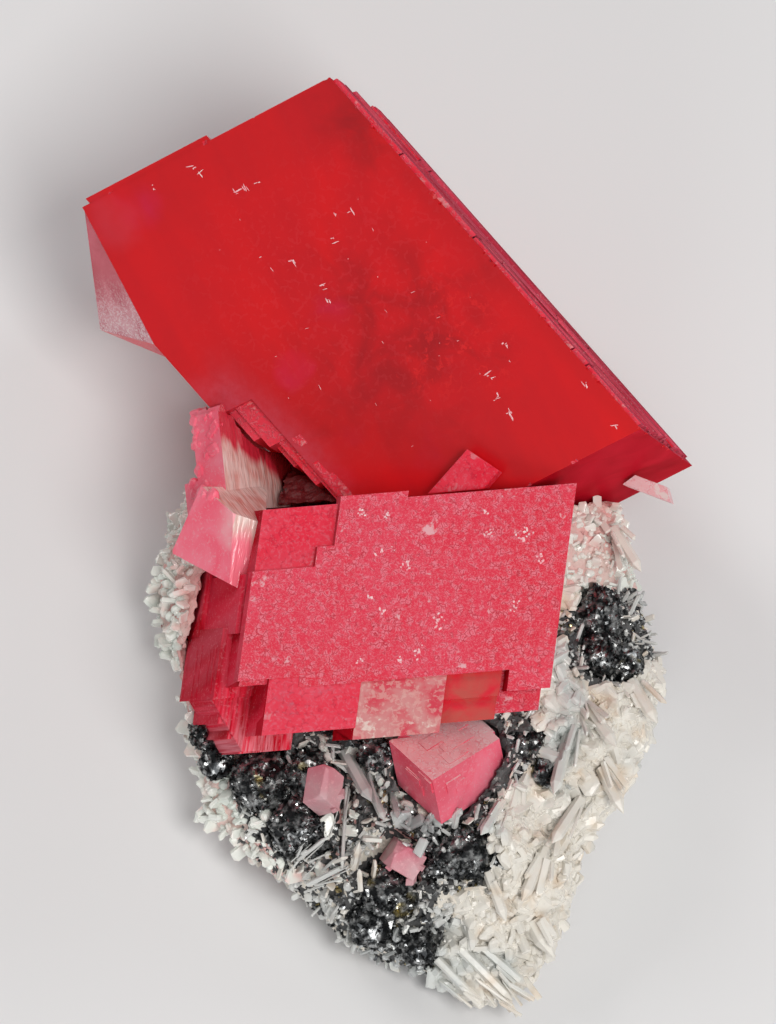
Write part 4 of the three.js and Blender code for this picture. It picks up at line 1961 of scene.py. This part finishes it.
@dataclass
class SulphideClusters(SubAssembly):
    """The dark clusters, each a knot of small metallic crystals.

    Attributes:
        grains_per_mm2: How many crystals are drawn on each square millimetre of a lump.
    """

    grains_per_mm2: float = 6.0

    def build(self) -> None:
        """Builds and dresses each cluster."""
        shapes = (("grain_three", 3, 0.1), ("grain_four", 4, 0.35), ("grain_five", 5, 0.5))
        seeds = Seeds([SeedShapes.grain(*shape) for shape in shapes])
        for number, name in enumerate(sorted(n for n in self.nodes if n.startswith("sulphide_"))):
            self._cluster(seeds, name, 300 + number)

    def _cluster(self, seeds: Seeds, node: str, seed: int) -> None:
        """One cluster: the lump under it and the crystals that cover it.

        Args:
            seeds: The prototypes.
            node: The CAD node that it stands for.
            seed: The seed of its draws.
        """
        self.rng = random.Random(seed)
        lump = Bench.copy_of_node(self.nodes[node], f"{node}_crystals")
        surface = Surface(lump, seed)
        places = []
        for spot in surface.spots(int(surface.square_mm * self.grains_per_mm2)):
            direction = (spot.normal + 0.9 * self.any_way()).normalized()
            size = self.draw(0.3, 0.8)
            sizes = (size, size * self.draw(0.7, 1.1), size * self.draw(0.7, 1.2))
            sink = size * 0.3 + 0.35 * (noise.noise(spot.point / MM * 0.8) + 0.1)
            kind, turn = self.rng.randrange(3), self.any_turn()
            places.append((kind, standing(spot.point, direction, turn, sizes, sink)))
        if surface.square_mm > 60:
            self.strew(f"{node}_quartz", seeds, places[::7], GreyQuartz, Slot.QUARTZ)
        piece = Bench.join([lump, seeds.scatter(f"{node}_grains", places)])
        self.dress(piece, [DarkSulphide])
        self.settle(piece, Slot.SULPHIDE, node)


@dataclass
class QuartzBundles(SubAssembly):
    """The larger quartz crystals, each with thinner ones that grew along it."""

    seed: int = 51

    def build(self) -> None:
        """Builds and dresses each bundle."""
        seeds = Seeds(
            [
                SeedShapes.blade("side_blade", 3.4, 1.2, 0.5),
                SeedShapes.blade("side_lath", 4.2, 0.8, -0.4),
                SeedShapes.prism("side_prism", 3.6, 0.85, 0.12),
            ]
        )
        for node in sorted(n for n in self.nodes if n.startswith("quartz_")):
            piece = Bench.copy_of_node(self.nodes[node], f"{node}_crystal")
            Bench.bevel(piece, 0.05)
            clean = any(word in node for word in ("grey", "short", "spine"))
            slim = 0.32 if any(word in node for word in ("spine", "left", "cream")) else 0.6
            places = self._companions(piece, clean, slim)
            piece = Bench.join([piece, seeds.scatter(f"{node}_bundle", places)])
            grey = clean or "left" in node
            self.dress(piece, [GreyQuartz if grey else MilkyQuartz])
            self.settle(piece, Slot.QUARTZ, node)

    def _companions(self, piece: Piece, clean: bool, slim: float) -> list[Place]:
        """Slims a prism and finds places for the thinner crystals beside it.

        Args:
            piece: The prism.
            clean: Whether it has only a few companions, all prisms.
            slim: The share of its thickness that it keeps.

        Returns:
            The prototype's number and its step, for each companion.
        """
        corners = np.array([v.co for v in piece.data.vertices])
        middle = corners.mean(axis=0)
        axis = Vector(np.linalg.svd(corners - middle)[2][0])
        if SHOWING.facing(axis).z < 0:
            axis.negate()
        along = (corners - middle) @ np.array(axis)
        foot = Vector(middle) + axis * float(along.min())
        length = float(along.max() - along.min()) / MM
        radius = float(np.linalg.norm(corners - middle - along[:, None] * np.array(axis), axis=1).max()) / MM
        for corner, reach in zip(piece.data.vertices, along):
            spine = Vector(middle) + axis * float(reach)
            corner.co = spine + (corner.co - spine) * slim
        places = []
        for _ in range(self.rng.randrange(1, 4) if clean else self.rng.randrange(5, 10)):
            sideways = (self.any_way().cross(axis)).normalized()
            aside, ahead = radius * self.draw(0.5, 1.5), length * self.draw(-0.3, 0.3)
            point = foot + (sideways * aside + axis * ahead) * MM
            direction = (axis + 0.3 * self.any_way()).normalized()
            size = radius * slim * self.draw(0.6, 1.2)
            share = length * self.draw(0.3, 0.65) / 4
            kind = 2 if clean else self.rng.randrange(3)
            places.append((kind, standing(point, direction, self.any_turn(), (size, size, share), 0)))
        return places


class Zone(Enum):
    """The parts of the rock, by what grows on them."""

    MILKY = 0
    GLASSY = 1
    GREY = 2
    DARK = 3
    BROWN = 4
    HIDDEN = 5


@dataclass
class DruseRock(SubAssembly):
    """The rock and the small crystals that cover it.

    Attributes:
        voxel: The remesh size of the rock.
        dark: The sulphide's places in the face-on frame and how far each reaches.
    """

    seed: int = 71
    voxel: float = 0.42
    dark: list[tuple[Vector, float]] = field(default_factory=list)

    def build(self) -> None:
        """Builds and dresses the rock and its druse."""
        for name in sorted(n for n in self.nodes if n.startswith("sulphide_")):
            low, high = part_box(name)
            self.dark.append((SHOWING.face_on((low + high) / 2), (high - low).length / MM * 0.42))
        rock = self._rock()
        self._druse(rock)

    def zone(self, point: Vector, outward: Vector) -> Zone:
        """The zone of a place on the rock.

        Args:
            point: The place, in the face-on frame.
            outward: The way that the surface looks there.

        Returns:
            The zone.
        """
        wobble = 2.2 * noise.noise(point * 0.3) + 0.8 * noise.noise(point * 1.1)
        # painted shadow: the gap behind the crystals gets no druse and the dark red shadow rock
        if point.y > 1.5 and -16 < point.x < 12:
            return Zone.HIDDEN
        if point.y > -5 and point.x > 18:
            return Zone.BROWN
        if point.x + wobble < -16 or (outward.x < -0.3 and outward.z < 0.6 and point.x < 4):
            return Zone.GLASSY if point.y > -36 else Zone.GREY
        if any((point - middle).xy.length < reach + wobble for middle, reach in self.dark):
            return Zone.DARK
        if point.x + wobble < 5 + 0.45 * (point.y + 44) and point.y < -17:
            return Zone.DARK if noise.noise(point * 0.22 + Vector((7, 3, 1))) > -0.12 else Zone.GREY
        return Zone.MILKY

    def _rock(self) -> Piece:
        """The rock: the CAD rock, remeshed and roughened above its flat back."""
        rock = Bench.copy_of_node(self.nodes["matrix_rock"], "matrix_rock_body")
        Bench.apply(rock, "REMESH", mode="VOXEL", voxel_size=self.voxel * MM)
        upper = rock.vertex_groups.new(name="above_the_bed")
        upper.add([v.index for v in rock.data.vertices if v.co.z > 1.2 * MM], 1.0, "REPLACE")
        Bench.roughen(rock, "knobs", 3.6, 1.5, "above_the_bed")
        Bench.roughen(rock, "grains", 0.9, 0.6, "above_the_bed")
        # the shadowed gap takes the painted-shadow rock
        numbers = {Zone.MILKY: 0, Zone.GLASSY: 2, Zone.GREY: 0, Zone.DARK: 1, Zone.BROWN: 2, Zone.HIDDEN: 3}
        self.dress(
            rock,
            [RockBody, DarkRock, RimRock, ShadedRock],
            lambda centre, normal: numbers[self.zone(centre, SHOWING.facing(normal))],
        )
        self.settle(rock, Slot.MATRIX, "matrix_rock")
        return rock

    def _open_spots(self, rock: Piece) -> dict[Zone, list[Spot]]:
        """Draws places all over the rock, above the bed and clear of the large crystals.

        Args:
            rock: The finished rock.

        Returns:
            The places of each zone.
        """
        crystals = tree_of([node for name, node in sorted(self.nodes.items()) if name.endswith("_rhomb")])
        ahead = SHOWING.direction(0, 0, 1)

        def open_to_the_air(spot: Spot) -> bool:
            """Whether a place is above the bed, with nothing close over it."""
            if spot.point.z < 2.2 * MM or spot.normal.z < -0.6:
                return False
            if crystals.find_nearest(spot.point, 1.0 * MM)[0] is not None:
                return False
            return crystals.ray_cast(spot.point, ahead, 5 * MM)[0] is None

        surface = Surface(rock, 72)
        found: dict[Zone, list[Spot]] = {zone: [] for zone in Zone}
        for spot in surface.spots(int(surface.square_mm * 7), open_to_the_air):
            found[self.zone(SHOWING.face_on(spot.point), SHOWING.facing(spot.normal))].append(spot)
        return found

    def _druse(self, rock: Piece) -> None:
        """The small crystals of every zone.

        Args:
            rock: The finished rock.
        """
        spots = self._open_spots(rock)
        blades = Seeds(
            [
                SeedShapes.blade("blade_wide", 2.4, 1.6, 0.5),
                SeedShapes.blade("blade_slim", 2.4, 1.0, -0.4),
                SeedShapes.blade("blade_stub", 1.7, 1.5, 0.3),
                SeedShapes.prism("prism_short", 2.0, 0.85, 0.1),
                SeedShapes.rhomb("milky_block", 0.12),
            ]
        )
        knobs = Seeds(
            [
                SeedShapes.knob("glassy_knob", 8),
                SeedShapes.knob("glassy_bump", 12),
                SeedShapes.knob("glassy_lump", 21),
                SeedShapes.blade("glassy_blade", 1.6, 1.2, 0.4),
            ]
        )
        grains = Seeds([SeedShapes.grain("crumb_three", 3, 0.1), SeedShapes.grain("crumb_four", 4, 0.4)])
        needle = SeedShapes.prism("needle", 5.0, 0.8, 0.05)
        needles = Seeds([needle, SeedShapes.prism("short_needle", 2.6, 0.8, 0.2)])
        cubes = Seeds([SeedShapes.rhomb("pyrite_cube")])
        quartz, metal = Slot.QUARTZ, Slot.SULPHIDE
        dark, grey, glassy, milky = spots[Zone.DARK], spots[Zone.GREY], spots[Zone.GLASSY], spots[Zone.MILKY]
        crumbs, specks = dark[::2] + grey[2::6] + milky[1::24], dark[::50] + milky[::300]
        halves = {False: "left", True: "right"}
        for right, side in halves.items():
            part = [s for s in milky if (SHOWING.face_on(s.point).x > 15) == right]
            places = self._lying(part[::2], 5, (0.55, 1.35))
            self.strew(f"milky_{side}_druse", blades, places, MilkyQuartz, quartz)
        for name, seeds, part, sizes, tilt, finish, slot in (
            ("milky_fill_blocks", cubes, milky[1::5], (0.5, 1.3), 0.9, MilkyQuartz, quartz),
            ("brown_druse", knobs, spots[Zone.BROWN][::3], (0.4, 0.9), 0.8, GlassyQuartz, quartz),
            ("glassy_rim_druse", knobs, glassy[::4], (0.6, 1.3), 0.7, GlassyQuartz, quartz),
            ("grey_flank_knobs", knobs, grey[::4], (0.45, 1.0), 0.9, GreyQuartz, quartz),
            ("grey_flank_grains", grains, grey[1::3], (0.3, 0.7), 0.9, GreyQuartz, quartz),
            ("dark_needles", needles, dark[::16], (0.22, 0.5), 0.9, GreyQuartz, quartz),
            ("dark_quartz_crumbs", grains, dark[3::10], (0.3, 0.7), 0.9, GreyQuartz, quartz),
            ("dark_blades", blades, dark[4::26], (0.35, 0.7), 0.9, MilkyQuartz, quartz),
            ("sulphide_crumbs", grains, crumbs, (0.3, 0.8), 1.0, DarkSulphide, metal),
            ("pyrite_specks", cubes, specks, (0.25, 0.55), 0.6, BrassyPyrite, metal),
        ):
            self.strew(name, seeds, self._standing(part, len(seeds.meshes), sizes, tilt), finish, slot)

    @staticmethod
    def _above_bed(place: Matrix, reach: float) -> bool:
        """Whether a crystal's tip stays above the bed."""
        return (place @ Vector((0, 0, reach))).z > 0.6 * MM

    def _standing(
        self, spots: Sequence[Spot], kinds: int, sizes: tuple[float, float], tilt: float
    ) -> list[Place]:
        """Places for crystals that stand on the rock every way.

        Args:
            spots: Where they stand.
            kinds: How many prototypes there are.
            sizes: Their least and greatest size.
            tilt: How far they lean off the surface's normal.
        """
        places = []
        for spot in spots:
            size = self.draw(*sizes)
            direction = (spot.normal + tilt * self.any_way()).normalized()
            shape = (size, size * self.draw(0.7, 1.1), size * self.draw(0.6, 1.2))
            place = standing(spot.point, direction, self.any_turn(), shape, size * 0.3)
            if self._above_bed(place, 4):
                places.append((self.rng.randrange(kinds), place))
        return places

    def _lying(
        self, spots: Sequence[Spot], kinds: int, sizes: tuple[float, float]
    ) -> list[Place]:
        """Places for blades that lie along the rock in bundles, each bundle its own way.

        Args:
            spots: Where they lie.
            kinds: How many prototypes there are.
            sizes: Their least and greatest size.
        """
        places = []
        for spot in spots:
            way = noise.noise_vector(spot.point / MM * 0.16)
            flat = (way - spot.normal * way.dot(spot.normal)).normalized()
            lift = self.draw(0.05, 0.75) * max(0.15, SHOWING.facing(spot.normal).z)
            direction = (flat + 0.35 * self.any_way() + spot.normal * lift).normalized()
            size = self.draw(*sizes)
            shape = (size, size * self.draw(0.8, 1.5), size * self.draw(0.45, 1.0))
            turn = self.rng.gauss(0, 0.35)
            place = standing(spot.point, direction, turn, shape, size * 0.5, spot.normal)
            if self._above_bed(place, 3):
                places.append((self.rng.randrange(kinds), place))
        return places


# --------------------------------------------------------------------------------------------------------
# Studio


@dataclass
class Studio:
    """The floor, the lights, the world and the camera.

    Attributes:
        view_height: How much of the showing face the picture covers from top to bottom.
        distance: From the showing face to the camera.
        centre: The middle of the picture, in the face-on frame.
        sensor: The camera's sensor height.
    """

    view_height: float = 108.9
    distance: float = 1200
    centre: Triple = (0, 3.3, -10)
    sensor: float = 36

    def build(self) -> None:
        """Sets up the studio."""
        self._floor()
        self._world()
        self._light("key_light", (270, -45, 850), 360, 5.0, (1.0, 0.98, 0.95))
        self._light("top_light", (-500, 750, 430), 360, 2.6, (1.0, 0.98, 0.96))
        self._light("side_light", (560, 420, 260), 300, 0.9, (0.95, 0.97, 1.0))
        self._light("low_light", (-120, -620, 420), 300, 1.6, (1.0, 1.0, 1.0))
        self._camera()

    def _floor(self) -> None:
        """A wide floor that the specimen lies on."""
        Bench.clear()
        bpy.ops.mesh.primitive_plane_add(size=6)
        floor = bpy.context.object
        floor.name = "floor"
        floor.data.materials.append(material_of(StudioFloor))

    @staticmethod
    def _world() -> None:
        """A dim, even sky."""
        world = bpy.data.worlds.new("soft_sky")
        world.use_nodes = True
        background = world.node_tree.nodes["Background"]
        background.inputs["Color"].default_value = (1, 1, 1, 1)
        background.inputs["Strength"].default_value = 0.22
        bpy.context.scene.world = world

    def _light(self, name: str, place: Triple, size: float, watts: float, colour: Colour) -> None:
        """A soft square light that looks at the specimen.

        Args:
            name: The light's name.
            place: Its place in the face-on frame.
            size: The side of its square.
            watts: Its power.
            colour: Its colour.
        """
        data = bpy.data.lights.new(name, "AREA")
        data.energy = watts
        data.size = size * MM
        data.color = colour
        light = bpy.data.objects.new(name, data)
        bpy.context.scene.collection.objects.link(light)
        light.location = SHOWING.point(*place)
        aim = SHOWING.point(*self.centre) - light.location
        light.rotation_euler = aim.to_track_quat("-Z", "Y").to_euler()

    def _camera(self) -> None:
        """The camera, face on to the showing side."""
        data = bpy.data.cameras.new("camera")
        data.sensor_fit = "VERTICAL"
        data.sensor_height = self.sensor
        data.lens = self.sensor * self.distance / self.view_height
        data.clip_start = 0.05
        data.clip_end = 20
        camera = bpy.data.objects.new("camera", data)
        bpy.context.scene.collection.objects.link(camera)
        x, y, z = self.centre
        step = SHOWING.matrix.to_3x3().normalized().to_4x4()
        camera.matrix_world = Matrix.Translation(SHOWING.point(x, y, z + self.distance)) @ step
        bpy.context.scene.camera = camera
        bpy.context.scene.view_settings.view_transform = "Standard"


def main() -> None:
    """Loads the frame and builds the specimen around it."""
    logging.basicConfig(level=logging.INFO, format="%(name)s: %(message)s")
    noise.seed_set(NOISE_SEED)
    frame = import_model()
    nodes = frame["nodes"]
    Studio().build()
    for part in (LargeCrystal, FrontCrystal, SmallCrystals, QuartzBundles, SulphideClusters, DruseRock):
        part(nodes).build()


if __name__ == "__main__":
    main()
